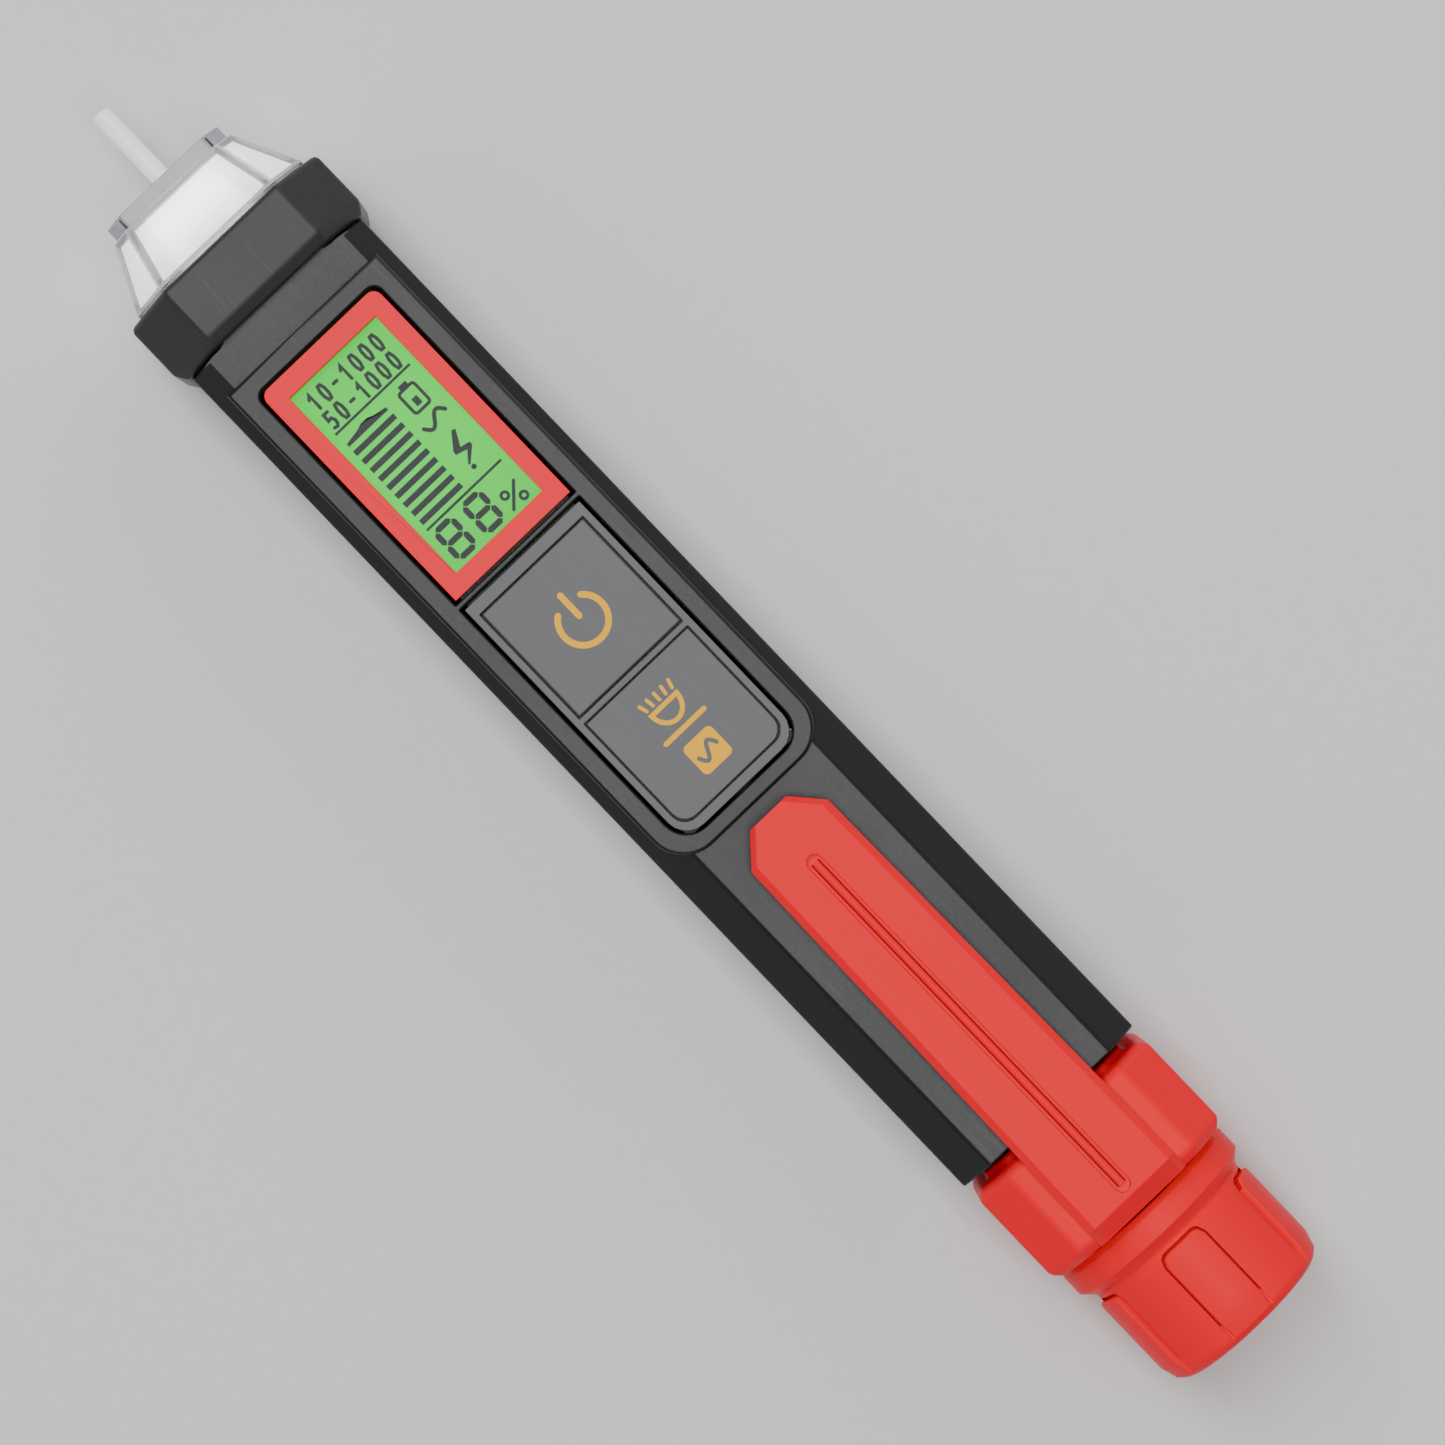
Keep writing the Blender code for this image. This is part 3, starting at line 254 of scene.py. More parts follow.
@dataclass(frozen=True)
class MouldedPlastic:
    """Injection-moulded plastic with spark-eroded grain, handling marks and faint scratches."""

    name: str
    slot: str
    colour: Colour
    roughness: float = 0.42
    grain_scale: float = 2600.0
    grain_depth: float = 0.006 * MM
    variation: float = 0.08
    specular: float = 0.5

    def make(self) -> bpy.types.Material:
        """Build the material."""
        g = Graph(self.name)
        grain = g.noise(self.grain_scale, 3.0, 0.6)
        cloud = g.noise(55.0, 4.0, 0.55)
        scratch = g.noise(1.0, 2.0, 0.5, g.stretched((90.0, 2400.0, 2400.0)))
        marks = g.ramp(scratch, 0.62, 0.72)
        dark, light = rgba(self.colour, 1 - self.variation), rgba(self.colour, 1 + self.variation)
        tone = g.mix(cloud, dark, light)
        speck = g.mix(g.ramp(grain, 0.35, 0.75) * 0.25, tone, rgba(self.colour, 1.35))
        wear = (cloud - 0.5) * 0.12 + (grain - 0.5) * 0.1 - marks * 0.035
        coarse = g.bump(cloud, 0.012 * MM)
        g.put(Base_Color=speck, Roughness=wear + self.roughness,
              Normal=g.bump(grain, self.grain_depth, coarse), Specular_IOR_Level=self.specular)
        return g.material


@dataclass(frozen=True)
class LampLens:
    """Clear or milky moulding, brighter where a lamp shines on it from behind.

    A lamp's bright spot is a painted pool of light, lying some way behind the nose's front, off the middle
    and above the lamp. The even glow is painted light too on the pieces that are no lamps.
    """

    name: str
    slot: str
    tint: Colour = (0.92, 0.93, 0.94)
    roughness: float = 0.2
    clear: float = 0.3
    glow: float = 0.1
    lamps: tuple[str, ...] = ()
    spot: tuple[float, float, float] = (4.6 * MM, 2.4 * MM, 3.6 * MM)
    reach: float = 6.0 * MM
    strength: float = 4.0

    def make(self) -> bpy.types.Material:
        """Build the material."""
        g = Graph(self.name)
        ripple = g.noise(420.0, 2.0, 0.5)
        frost = g.noise(3200.0, 2.0, 0.6)
        haze = g.ramp(g.noise(120.0, 2.0, 0.5), 0.3, 0.7)
        behind, aside, above = self.spot
        nose_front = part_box("nose_cone")[0].x
        # painted pools of the torch lamps' light on the nose, summed over the lamps
        painted_lamp_spots: Number = 0.0
        for lamp in self.lamps:
            low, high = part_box(lamp)
            spot = (nose_front + behind, math.copysign(aside, low.y + high.y), high.z + above)
            away = g.node("ShaderNodeVectorMath", {"operation": "DISTANCE"},
                          {0: g.place, 1: spot}, "Value")
            near = g.ramp(away, self.reach, 0.0)
            painted_lamp_spots = near * near + painted_lamp_spots
        dim = rgba(self.tint, self.glow / self.strength)
        g.put(Base_Color=g.mix(haze, rgba(self.tint, 0.92), rgba(self.tint)),
              Roughness=frost * 0.1 + (self.roughness - 0.05),
              Normal=g.bump(frost, 0.0006 * MM, g.bump(ripple, 0.01 * MM)),
              Transmission_Weight=self.clear, IOR=1.46,
              Emission_Color=g.mix(painted_lamp_spots, dim, (1.0, 1.0, 1.0, 1.0)), Emission_Strength=self.strength)
        return g.material


@dataclass(frozen=True)
class ClearWindow:
    """Thin polished cover over the display."""

    name: str
    slot: str
    opacity: float = 0.02

    def make(self) -> bpy.types.Material:
        """Build the material."""
        g = Graph(self.name)
        haze = g.noise(900.0, 3.0, 0.6)
        smear = g.noise(70.0, 2.0, 0.5)
        g.put(Base_Color=g.mix(smear, (0.02, 0.03, 0.02, 1.0), (0.06, 0.08, 0.06, 1.0)),
              Roughness=haze * 0.04 + 0.08, Alpha=smear * 0.02 + self.opacity,
              Normal=g.bump(haze, 0.0004 * MM))
        return g.material


@dataclass(frozen=True)
class LitDisplay:
    """Backlit liquid crystal, brighter in the middle, with the faint grid of its cells."""

    name: str
    slot: str
    colour: Colour = (0.02, 1.0, 0.03)
    cell: float = 0.25 * MM

    def make(self) -> bpy.types.Material:
        """Build the material."""
        g = Graph(self.name)
        low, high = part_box("lcd_glass")
        middle = (low.x + high.x) / 2
        reach = (high.x - low.x) / 2
        away = g.node("ShaderNodeMath", {"operation": "ABSOLUTE"}, {0: g.along("X") - middle})
        edge = g.ramp(away, reach * 0.3, reach * 1.2)
        weave = g.noise(1 / self.cell, 1.0, 0.5)
        tone = g.mix(edge, rgba(self.colour), rgba(self.colour, 0.82))
        tone = g.mix(weave * 0.15, tone, (0.06, 1.0, 0.07, 1.0))
        g.put(Base_Color=g.mix(0.75, tone, (0.0, 0.02, 0.0, 1.0)), Roughness=weave * 0.1 + 0.35,
              Emission_Color=tone, Emission_Strength=0.85, Normal=g.bump(weave, 0.002 * MM),
              Specular_IOR_Level=0.2)
        return g.material


@dataclass(frozen=True)
class Ink:
    """Printed or inlaid colour, slightly uneven."""

    name: str
    slot: str
    colour: Colour
    roughness: float = 0.5
    # a glow above nought is painted light: a print or inlay is no lamp
    glow: float = 0.0

    def make(self) -> bpy.types.Material:
        """Build the material."""
        g = Graph(self.name)
        mottle = g.noise(1800.0, 3.0, 0.6)
        tone = g.mix(mottle, rgba(self.colour, 0.88), rgba(self.colour, 1.08))
        g.put(Base_Color=tone, Roughness=mottle * 0.15 + (self.roughness - 0.07),
              Emission_Color=tone, Emission_Strength=self.glow,
              Normal=g.bump(mottle, 0.004 * MM))
        return g.material


@dataclass(frozen=True)
class Metal:
    """Plated or drawn metal with fine lines along the tool and faint tarnish."""

    name: str
    slot: str
    colour: Colour
    roughness: float = 0.28

    def make(self) -> bpy.types.Material:
        """Build the material."""
        g = Graph(self.name)
        lines = g.noise(1.0, 2.0, 0.6, g.stretched((300.0, 5200.0, 5200.0)))
        tarnish = g.ramp(g.noise(240.0, 4.0, 0.6), 0.35, 0.8)
        g.put(Base_Color=g.mix(tarnish, rgba(self.colour), rgba(self.colour, 0.66)),
              Metallic=1.0, Roughness=lines * 0.16 + tarnish * 0.12 + (self.roughness - 0.1),
              Normal=g.bump(lines, 0.006 * MM))
        return g.material


@dataclass(frozen=True)
class CircuitBoard:
    """Green solder mask over copper tracks, with a fibre weave showing through."""

    name: str
    slot: str

    def make(self) -> bpy.types.Material:
        """Build the material."""
        g = Graph(self.name)
        tracks = g.node("ShaderNodeTexVoronoi", {"feature": "DISTANCE_TO_EDGE"},
                        {"Vector": g.place, "Scale": 420.0}, "Distance")
        copper = tracks < 0.05
        weave = g.noise(1.0, 1.0, 0.5, g.stretched((3000.0, 900.0, 900.0)))
        mask = g.mix(weave, (0.003, 0.022, 0.008, 1.0), (0.005, 0.035, 0.012, 1.0))
        g.put(Base_Color=g.mix(copper, mask, (0.012, 0.07, 0.025, 1.0)),
              Roughness=weave * 0.1 + 0.3, Normal=g.bump(copper, 0.02 * MM))
        return g.material


@dataclass(frozen=True)
class CellJacket:
    """Shrink-wrapped cell: plain jacket with a paler band and bare ends."""

    name: str
    slot: str
    node: str

    def make(self) -> bpy.types.Material:
        """Build the material."""
        g = Graph(self.name)
        low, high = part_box(self.node)
        x = g.along("X")
        bare = (x < low.x + 1.4 * MM) + (x > high.x - 0.35 * MM)
        band = (x > low.x + 4 * MM) * (x < low.x + 14 * MM)
        jacket = g.mix(band, (0.02, 0.05, 0.16, 1.0), (0.62, 0.4, 0.08, 1.0))
        crease = g.noise(260.0, 3.0, 0.5)
        g.put(Base_Color=g.mix(bare, jacket, (0.6, 0.6, 0.62, 1.0)), Metallic=bare,
              Roughness=crease * 0.2 + 0.22, Normal=g.bump(crease, 0.02 * MM))
        return g.material


class Finish(Enum):
    """Every finish on the tool."""

    BLACK = MouldedPlastic("black_housing", "black_plastic", (0.008, 0.008, 0.0085), 0.4,
                           specular=0.38)
    COLLAR = MouldedPlastic("black_collar", "black_plastic", (0.028, 0.028, 0.029), 0.44,
                            specular=0.3)
    KEYPAD = MouldedPlastic("grey_keypad", "grey_plastic", (0.1, 0.1, 0.105), 0.55, 3200.0)
    RED = MouldedPlastic("red_clip_and_cap", "red_plastic", (0.95, 0.004, 0.018), 0.42,
                         variation=0.04, specular=0.08)
    # Painted shade: a darker red for the clip's groove, the clip ring's narrow nose and the grooves round
    # the cap's pads.
    CREASE = MouldedPlastic("red_painted_shade", "red_plastic", (0.5, 0.001, 0.006), 0.5,
                            variation=0.04, specular=0.05)
    BEZEL = MouldedPlastic("red_bezel", "red_plastic", (0.97, 0.02, 0.04), 0.45, 3000.0,
                           variation=0.03, specular=0.08)
    # The nose, its ribs and the probe are no lamps: their glow is painted light.
    LENS = LampLens("lamp_nose", "clear_plastic", glow=0.75,
                    lamps=("torch_led_left", "torch_led_right"))
    RIB = LampLens("lamp_nose_ribs", "clear_plastic", (0.4, 0.41, 0.43), 0.1, 0.4, 0.03)
    PROBE = LampLens("probe_plastic", "white_plastic", (0.92, 0.92, 0.93), 0.25, 0.2, 0.35)
    LAMP = LampLens("lamp_body", "led_clear", (0.98, 0.98, 1.0), 0.12, 0.3, 1.0)
    ALARM = LampLens("alarm_lamp", "led_red", (0.9, 0.12, 0.08), 0.15, 0.5, 0.05)
    WINDOW = ClearWindow("display_cover", "clear_plastic")
    DISPLAY = LitDisplay("lit_display", "lcd_glass")
    SEGMENT = Ink("display_segments", "lcd_glass", (0.012, 0.004, 0.02), 0.6)
    # The amber inlay is no lamp: its glow is painted light that brightens it.
    AMBER = Ink("amber_inlay", "grey_plastic", (0.6, 0.3, 0.0), 0.7, 0.75)
    WHITE = MouldedPlastic("white_holder", "white_plastic", (0.8, 0.8, 0.79), 0.4)
    CHIP = MouldedPlastic("chip_moulding", "chip_black", (0.018, 0.018, 0.02), 0.55)
    RUBBER = MouldedPlastic("seal_rubber", "rubber", (0.015, 0.015, 0.016), 0.75, 1500.0)
    STEEL = Metal("plated_steel", "steel", (0.62, 0.62, 0.64))
    BRASS = Metal("plated_brass", "brass", (0.8, 0.58, 0.24), 0.25)
    BOARD = CircuitBoard("solder_mask", "board")
    FRONT_CELL = CellJacket("front_cell_jacket", "cell_jacket", "battery_front")
    REAR_CELL = CellJacket("rear_cell_jacket", "cell_jacket", "battery_rear")


class Wardrobe:
    """Makes each finish once and puts it on pieces and frame nodes."""

    def __init__(self) -> None:
        """Start with nothing made."""
        self.made: dict[Finish, bpy.types.Material] = {}

    def material(self, finish: Finish) -> bpy.types.Material:
        """The finish's material, made on first use."""
        if finish not in self.made:
            self.made[finish] = finish.value.make()
        return self.made[finish]

    def dress(self, piece: bpy.types.Object, finish: Finish, body: Body,
              instead_of: Sequence[str] = (), others: Sequence[Finish] = ()) -> bpy.types.Object:
        """Finish a new piece and hang it on its body.

        Args:
            piece: the object.
            finish: what it is made of.
            body: the body it rides on.
            instead_of: frame nodes that it stands for.
            others: finishes of its faces that have a higher material number.

        Returns:
            The same object.
        """
        self.coat(piece, finish, *others)
        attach(piece, body.value)
        if instead_of:
            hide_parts(*instead_of)
        LOG.info("piece %s: %d faces, rides %s", piece.name, len(piece.data.polygons), body.value)
        return piece

    def coat(self, piece: bpy.types.Object, *finishes: Finish) -> None:
        """Give an object its materials, in the order of its faces' material numbers."""
        numbers = [min(face.material_index, len(finishes) - 1) for face in piece.data.polygons]
        piece.data.materials.clear()
        for finish in finishes:
            piece.data.materials.append(self.material(finish))
        piece.data.polygons.foreach_set("material_index", numbers)

    def dress_nodes(self, finish: Finish, *nodes: str) -> None:
        """Give frame nodes that stay a better material."""
        for node in nodes:
            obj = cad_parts[node]
            for material_slot in obj.material_slots:
                material_slot.material = self.material(finish)
            LOG.info("node %s keeps its shape, finish %s", node, finish.value.name)


WARDROBE = Wardrobe()


# ---------------------------------------------------------------- modelling

def octagon(half_width: float, half_height: float, chamfer: float) -> Outline:
    """Eight (y, z) corners about the tool's axis, counter-clockwise seen from the cap."""
    w, h = half_width, half_height
    y, z = w - chamfer, h - chamfer
    return [(w, -z), (w, z), (y, h), (-y, h), (-w, z), (-w, -z), (-y, -h), (y, -h)]


def eased(half_width: float, half_height: float, chamfer: float, inset: float) -> Outline:
    """The octagon whose eight sides all lie inset inside the one given."""
    return octagon(half_width - inset, half_height - inset, chamfer - inset * (2 - math.sqrt(2)))


class Bench:
    """Blender's modelling operators as used by hand, on one object at a time."""

    @staticmethod
    def pick(obj: bpy.types.Object) -> None:
        """Select one object and nothing else."""
        bpy.ops.object.select_all(action="DESELECT")
        obj.select_set(True)
        bpy.context.view_layer.objects.active = obj

    @classmethod
    def edit(cls, obj: bpy.types.Object, select: str = "SELECT") -> None:
        """Enter edit mode with everything or nothing selected."""
        cls.pick(obj)
        bpy.ops.object.mode_set(mode="EDIT")
        bpy.ops.mesh.select_all(action=select)

    @staticmethod
    def done() -> None:
        """Leave edit mode."""
        bpy.ops.object.mode_set(mode="OBJECT")

    @classmethod
    def settle(cls, name: str) -> bpy.types.Object:
        """Name the new primitive and put its place into its mesh."""
        obj = bpy.context.object
        obj.name = name
        obj.data.name = name
        cls.pick(obj)
        bpy.ops.object.transform_apply(location=True, rotation=True, scale=True)
        return obj

    @classmethod
    def box(cls, name: str, low: Sequence[float], high: Sequence[float]) -> bpy.types.Object:
        """Add a box between two corners."""
        size = Vector(high) - Vector(low)
        centre = (Vector(high) + Vector(low)) / 2
        bpy.ops.object.select_all(action="DESELECT")
        bpy.ops.mesh.primitive_cube_add(size=1.0, location=centre, scale=size)
        return cls.settle(name)

    @classmethod
    def post(cls, name: str, x: float, y: float, z0: float, z1: float, radius: float,
             sides: int = 32) -> bpy.types.Object:
        """Add an upright cylinder between two heights."""
        bpy.ops.object.select_all(action="DESELECT")
        bpy.ops.mesh.primitive_cylinder_add(vertices=sides, radius=radius, depth=z1 - z0,
                                            location=(x, y, (z0 + z1) / 2))
        return cls.settle(name)

    @classmethod
    def rod(cls, name: str, x0: float, x1: float, y: float, z: float, radius: float,
            sides: int = 48) -> bpy.types.Object:
        """Add a cylinder that lies along the tool."""
        bpy.ops.object.select_all(action="DESELECT")
        bpy.ops.mesh.primitive_cylinder_add(vertices=sides, radius=radius, depth=x1 - x0,
                                            location=((x0 + x1) / 2, y, z),
                                            rotation=(0.0, math.pi / 2, 0.0))
        return cls.settle(name)

    @staticmethod
    def lay_out(mesh: bpy.types.Mesh) -> bpy.types.Object:
        """Put a mesh in the scene as an object of the same name."""
        obj = bpy.data.objects.new(mesh.name, mesh)
        bpy.context.scene.collection.objects.link(obj)
        return obj

    @classmethod
    def from_points(cls, name: str, points: Sequence[Sequence[float]],
                    edges: Sequence[Sequence[int]] = (),
                    faces: Sequence[Sequence[int]] = ()) -> bpy.types.Object:
        """An object from its points and the edges or faces between them."""
        mesh = bpy.data.meshes.new(name)
        mesh.from_pydata([tuple(point) for point in points], edges, faces)
        return cls.lay_out(mesh)

    @classmethod
    def wire(cls, name: str, points: Sequence[Sequence[float]], closed: bool) -> bpy.types.Object:
        """A chain of edges through points, the start of a spun or filled shape."""
        count = len(points)
        edges = [(i, i + 1) for i in range(count - 1)] + ([(count - 1, 0)] if closed else [])
        return cls.from_points(name, points, edges)

    @classmethod
    def turned(cls, name: str, profile: Outline, axis: Point, closed: bool = False,
               sides: int = 96) -> bpy.types.Object:
        """Spin an (x, r) profile round a line along X.

        Args:
            name: the piece's name.
            profile: points, from axis to axis, or a closed loop round a bore.
            axis: (y, z) of the line.
            closed: whether the profile is a loop.
            sides: steps of the spin.

        Returns:
            The turned piece.
        """
        y, z = axis
        obj = cls.wire(name, [(x, y, z + r) for x, r in profile], closed)
        cls.edit(obj)
        bpy.ops.mesh.spin(steps=sides, angle=2 * math.pi, center=(0.0, y, z), axis=(1.0, 0.0, 0.0))
        cls.tidy_and_leave()
        return obj

    @classmethod
    def tidy_and_leave(cls, merge: float = 0.001 * MM) -> None:
        """Merge doubles, drop loose edges, point faces outwards and leave edit mode."""
        bpy.ops.mesh.select_all(action="SELECT")
        bpy.ops.mesh.remove_doubles(threshold=merge)
        bpy.ops.mesh.dissolve_degenerate(threshold=merge)
        bpy.ops.mesh.delete_loose(use_verts=True, use_edges=True, use_faces=False)
        bpy.ops.mesh.select_all(action="SELECT")
        bpy.ops.mesh.normals_make_consistent(inside=False)
        cls.done()

    @classmethod
    def slab(cls, name: str, outline: Outline, z0: float, z1: float) -> bpy.types.Object:
        """Fill an (x, y) outline and extrude it upwards."""
        obj = cls.wire(name, [(x, y, z0) for x, y in outline], True)
        cls.edit(obj)
        bpy.ops.mesh.edge_face_add()
        bpy.ops.mesh.extrude_region_move(TRANSFORM_OT_translate={"value": (0.0, 0.0, z1 - z0)})
        cls.tidy_and_leave()
        return obj

    @classmethod
    def drawn(cls, name: str, axis_z: float,
              stations: Sequence[tuple[float, Outline]]) -> bpy.types.Object:
        """Extrude a section along X and reshape it at each station.

        Args:
            name: the piece's name.
            axis_z: height of the axis that the outlines are about.
            stations: (x, outline) pairs, the outlines with the same number of corners.

        Returns:
            The closed bar.
        """
        x, outline = stations[0]
        obj = cls.wire(name, [(x, y, axis_z + z) for y, z in outline], True)
        cls.edit(obj)
        bpy.ops.mesh.edge_face_add()
        for x, following in stations[1:]:
            bpy.ops.mesh.extrude_region_move(TRANSFORM_OT_translate={"value": (0.0, 0.0, 0.0)})
            work = bmesh.from_edit_mesh(obj.data)
            moving = [v for v in work.verts if v.select]
            for (y, z), (new_y, new_z) in zip(outline, following):
                here = Vector((y, axis_z + z))
                nearest = min(moving, key=lambda v: (Vector((v.co.y, v.co.z)) - here).length)
                moving.remove(nearest)
                nearest.co = (x, new_y, axis_z + new_z)
            bmesh.update_edit_mesh(obj.data)
            outline = following
        cls.tidy_and_leave(0.0001 * MM)
        return obj

    @classmethod
    def copy_of(cls, name: str, node: str) -> bpy.types.Object:
        """A merged copy of a frame node, its flat faces whole again."""
        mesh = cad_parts[node].data.copy()
        mesh.name = name
        obj = cls.lay_out(mesh)
        cls.edit(obj)
        bpy.ops.mesh.customdata_custom_splitnormals_clear()
        bpy.ops.mesh.remove_doubles(threshold=0.002 * MM)
        bpy.ops.mesh.dissolve_limited(angle_limit=math.radians(0.5))
        cls.done()
        return obj

    @classmethod
    def bevel_where(cls, obj: bpy.types.Object, test: PlaceTest, width: float,
                    segments: int) -> None:
        """Bevel the edges whose two ends pass a test."""
        cls.edit(obj, "DESELECT")
        bpy.ops.mesh.select_mode(type="EDGE")
        work = bmesh.from_edit_mesh(obj.data)
        for edge in work.edges:
            edge.select_set(all(test(vertex.co) for vertex in edge.verts))
        bmesh.update_edit_mesh(obj.data)
        bpy.ops.mesh.bevel(offset=width, segments=segments)
        cls.done()

    @classmethod
    def inset_where(cls, obj: bpy.types.Object, test: Callable[[bmesh.types.BMFace], bool],
                    width: float, depth: float) -> None:
        """Sink the faces that pass a test inside a border, which takes material number 1."""
        cls.edit(obj, "DESELECT")
        bpy.ops.mesh.select_mode(type="FACE")
        work = bmesh.from_edit_mesh(obj.data)
        for face in work.faces:
            face.select_set(test(face))
        bmesh.update_edit_mesh(obj.data)
        bpy.ops.mesh.inset(thickness=width, depth=-depth, use_individual=True)
        work = bmesh.from_edit_mesh(obj.data)
        for face in work.faces:
            face.material_index = 0 if face.select else 1
        bmesh.update_edit_mesh(obj.data)
        cls.done()

    @staticmethod
    def number_faces(obj: bpy.types.Object, number: int, test: PlaceTest) -> None:
        """Give the faces whose middle passes a test a material number."""
        for face in obj.data.polygons:
            if test(face.center):
                face.material_index = number

    @classmethod
    def apply(cls, obj: bpy.types.Object, kind: str, **settings: object) -> None:
        """Add a modifier, set it and apply it."""
        cls.pick(obj)
        modifier = obj.modifiers.new(kind.lower(), kind)
        for key, value in settings.items():
            setattr(modifier, key, value)
        bpy.ops.object.modifier_apply(modifier=modifier.name)

    @classmethod
    def cut(cls, obj: bpy.types.Object, tool: bpy.types.Object) -> None:
        """Take another object's shape out of this one, and use it up."""
        cls.apply(obj, "BOOLEAN", operation="DIFFERENCE", object=tool, solver="EXACT")
        bpy.data.objects.remove(tool, do_unlink=True)

    @classmethod
    def unite(cls, obj: bpy.types.Object, tool: bpy.types.Object) -> None:
        """Grow this object by another one's shape, and use it up."""
        cls.apply(obj, "BOOLEAN", operation="UNION", object=tool, solver="EXACT")
        bpy.data.objects.remove(tool, do_unlink=True)

    @classmethod
    def round_edges(cls, obj: bpy.types.Object, width: float, segments: int = 3,
                    angle: float = 28.0) -> None:
        """Round every edge sharper than an angle, and shade the piece smooth."""
        cls.apply(obj, "BEVEL", width=width, segments=segments, limit_method="ANGLE",
                  angle_limit=math.radians(angle), use_clamp_overlap=True, miter_outer="MITER_ARC")
        cls.flatten(obj)

    @classmethod
    def flatten(cls, obj: bpy.types.Object) -> None:
        """Shade smooth, with normals that leave the large faces flat."""
        cls.smooth(obj)
        cls.apply(obj, "WEIGHTED_NORMAL", keep_sharp=True, weight=100)

    @classmethod
    def smooth(cls, obj: bpy.types.Object, angle: float = 32.0) -> None:
        """Shade smooth across edges blunter than an angle."""
        cls.pick(obj)
        bpy.ops.object.shade_smooth_by_angle(angle=math.radians(angle))

    @classmethod
    def merge(cls, name: str, parts: Sequence[bpy.types.Object]) -> bpy.types.Object:
        """Join several objects into one piece."""
        cls.pick(parts[0])
        for part in parts[1:]:
            part.select_set(True)
        bpy.ops.object.join()
        parts[0].name = name
        parts[0].data.name = name
        return parts[0]

    @classmethod
    def ribbon(cls, name: str, path: Outline, width: float, z0: float, z1: float,
               closed: bool = False) -> bpy.types.Object:
        """A flat stroke of even width along an (x, y) path, with half-round ends.

        Args:
            name: the stroke's name.
            path: the points that its middle follows.
            width: the stroke's width.
            z0: underside.
            z1: top.
            closed: whether the path is a loop.

        Returns:
            The stroke, a closed solid.
        """
        count = len(path)
        left, right = [], []
        for i, (x, y) in enumerate(path):
            before = Vector(path[i - 1] if closed or i > 0 else path[0])
            after = Vector(path[(i + 1) % count] if closed or i < count - 1 else path[-1])
            here = Vector((x, y))
            towards, onwards = here - before, after - here
            one = (towards if towards.length else onwards).normalized()
            two = onwards.normalized() if onwards.length else one
            normal = Vector((-(one + two).y, (one + two).x)).normalized()
            reach = width / 2 / max(normal.dot(Vector((-one.y, one.x))), 0.4)
            left.append(here + normal * reach)
            right.append(here - normal * reach)
        if closed:
            verts = [(p.x, p.y, z0) for p in left + right]
            faces = [(i, (i + 1) % count, count + (i + 1) % count, count + i) for i in range(count)]
        else:
            loop = (right + cls.half_round(path[-1], path[-2], width)
                    + left[::-1] + cls.half_round(path[0], path[1], width))
            verts = [(p.x, p.y, z0) for p in loop]
            faces = [tuple(range(len(verts)))]
        obj = cls.from_points(name, verts, faces=faces)
        cls.edit(obj)
        bpy.ops.mesh.extrude_region_move(TRANSFORM_OT_translate={"value": (0.0, 0.0, z1 - z0)})
        cls.tidy_and_leave(0.0002 * MM)
        return obj

    @staticmethod
    def half_round(end: Point, inner: Point, width: float, steps: int = 6) -> list[Vector]:
        """Points of a half circle that closes a stroke beyond its end."""
        centre = Vector(end)
        forward = (centre - Vector(inner)).normalized()
        side = Vector((forward.y, -forward.x))
        points = []
        for i in range(1, steps):
            angle = math.pi * i / steps
            points.append(centre + (side * math.cos(angle) + forward * math.sin(angle)) * width / 2)
        return points


def arc(centre: Point, radius: float, start: float, end: float, steps: int = 24) -> Outline:
    """Points along an arc, in degrees counter-clockwise from +X."""
    points = []
    for i in range(steps + 1):
        angle = math.radians(start + (end - start) * i / steps)
        points.append((centre[0] + radius * math.cos(angle), centre[1] + radius * math.sin(angle)))
    return points


def window_outline(x0: float, x1: float, half_width: float, front_round: float,
                   rear_round: float) -> Outline:
    """A rectangle across the tool's middle, its front and rear corners rounded by two radii."""
    points = []
    for x, y, radius, start in (
            (x1, half_width, rear_round, 0.0), (x0, half_width, front_round, 90.0),
            (x0, -half_width, front_round, 180.0), (x1, -half_width, rear_round, 270.0)):
        inward = math.copysign(radius, (x0 + x1) / 2 - x)
        centre = (x + inward, y - math.copysign(radius, y))
        points += arc(centre, radius, start, start + 90.0, 8) if radius else [(x, y)]
    return points


def rounded_rectangle(x0: float, x1: float, y0: float, y1: float, radius: float,
                      steps: int = 5) -> Outline:
    """A rectangle with four round corners, counter-clockwise."""
    points: Outline = []
    corners = [(x1 - radius, y1 - radius, 0.0), (x0 + radius, y1 - radius, 90.0),
               (x0 + radius, y0 + radius, 180.0), (x1 - radius, y0 + radius, 270.0)]
    for cx, cy, start in corners:
        points += arc((cx, cy), radius, start, start + 90.0, steps)
    return points


# ---------------------------------------------------------------- nose

AXIS_Z = sum(corner.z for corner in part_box("battery_rear")) / 2  # height of the tool's long axis


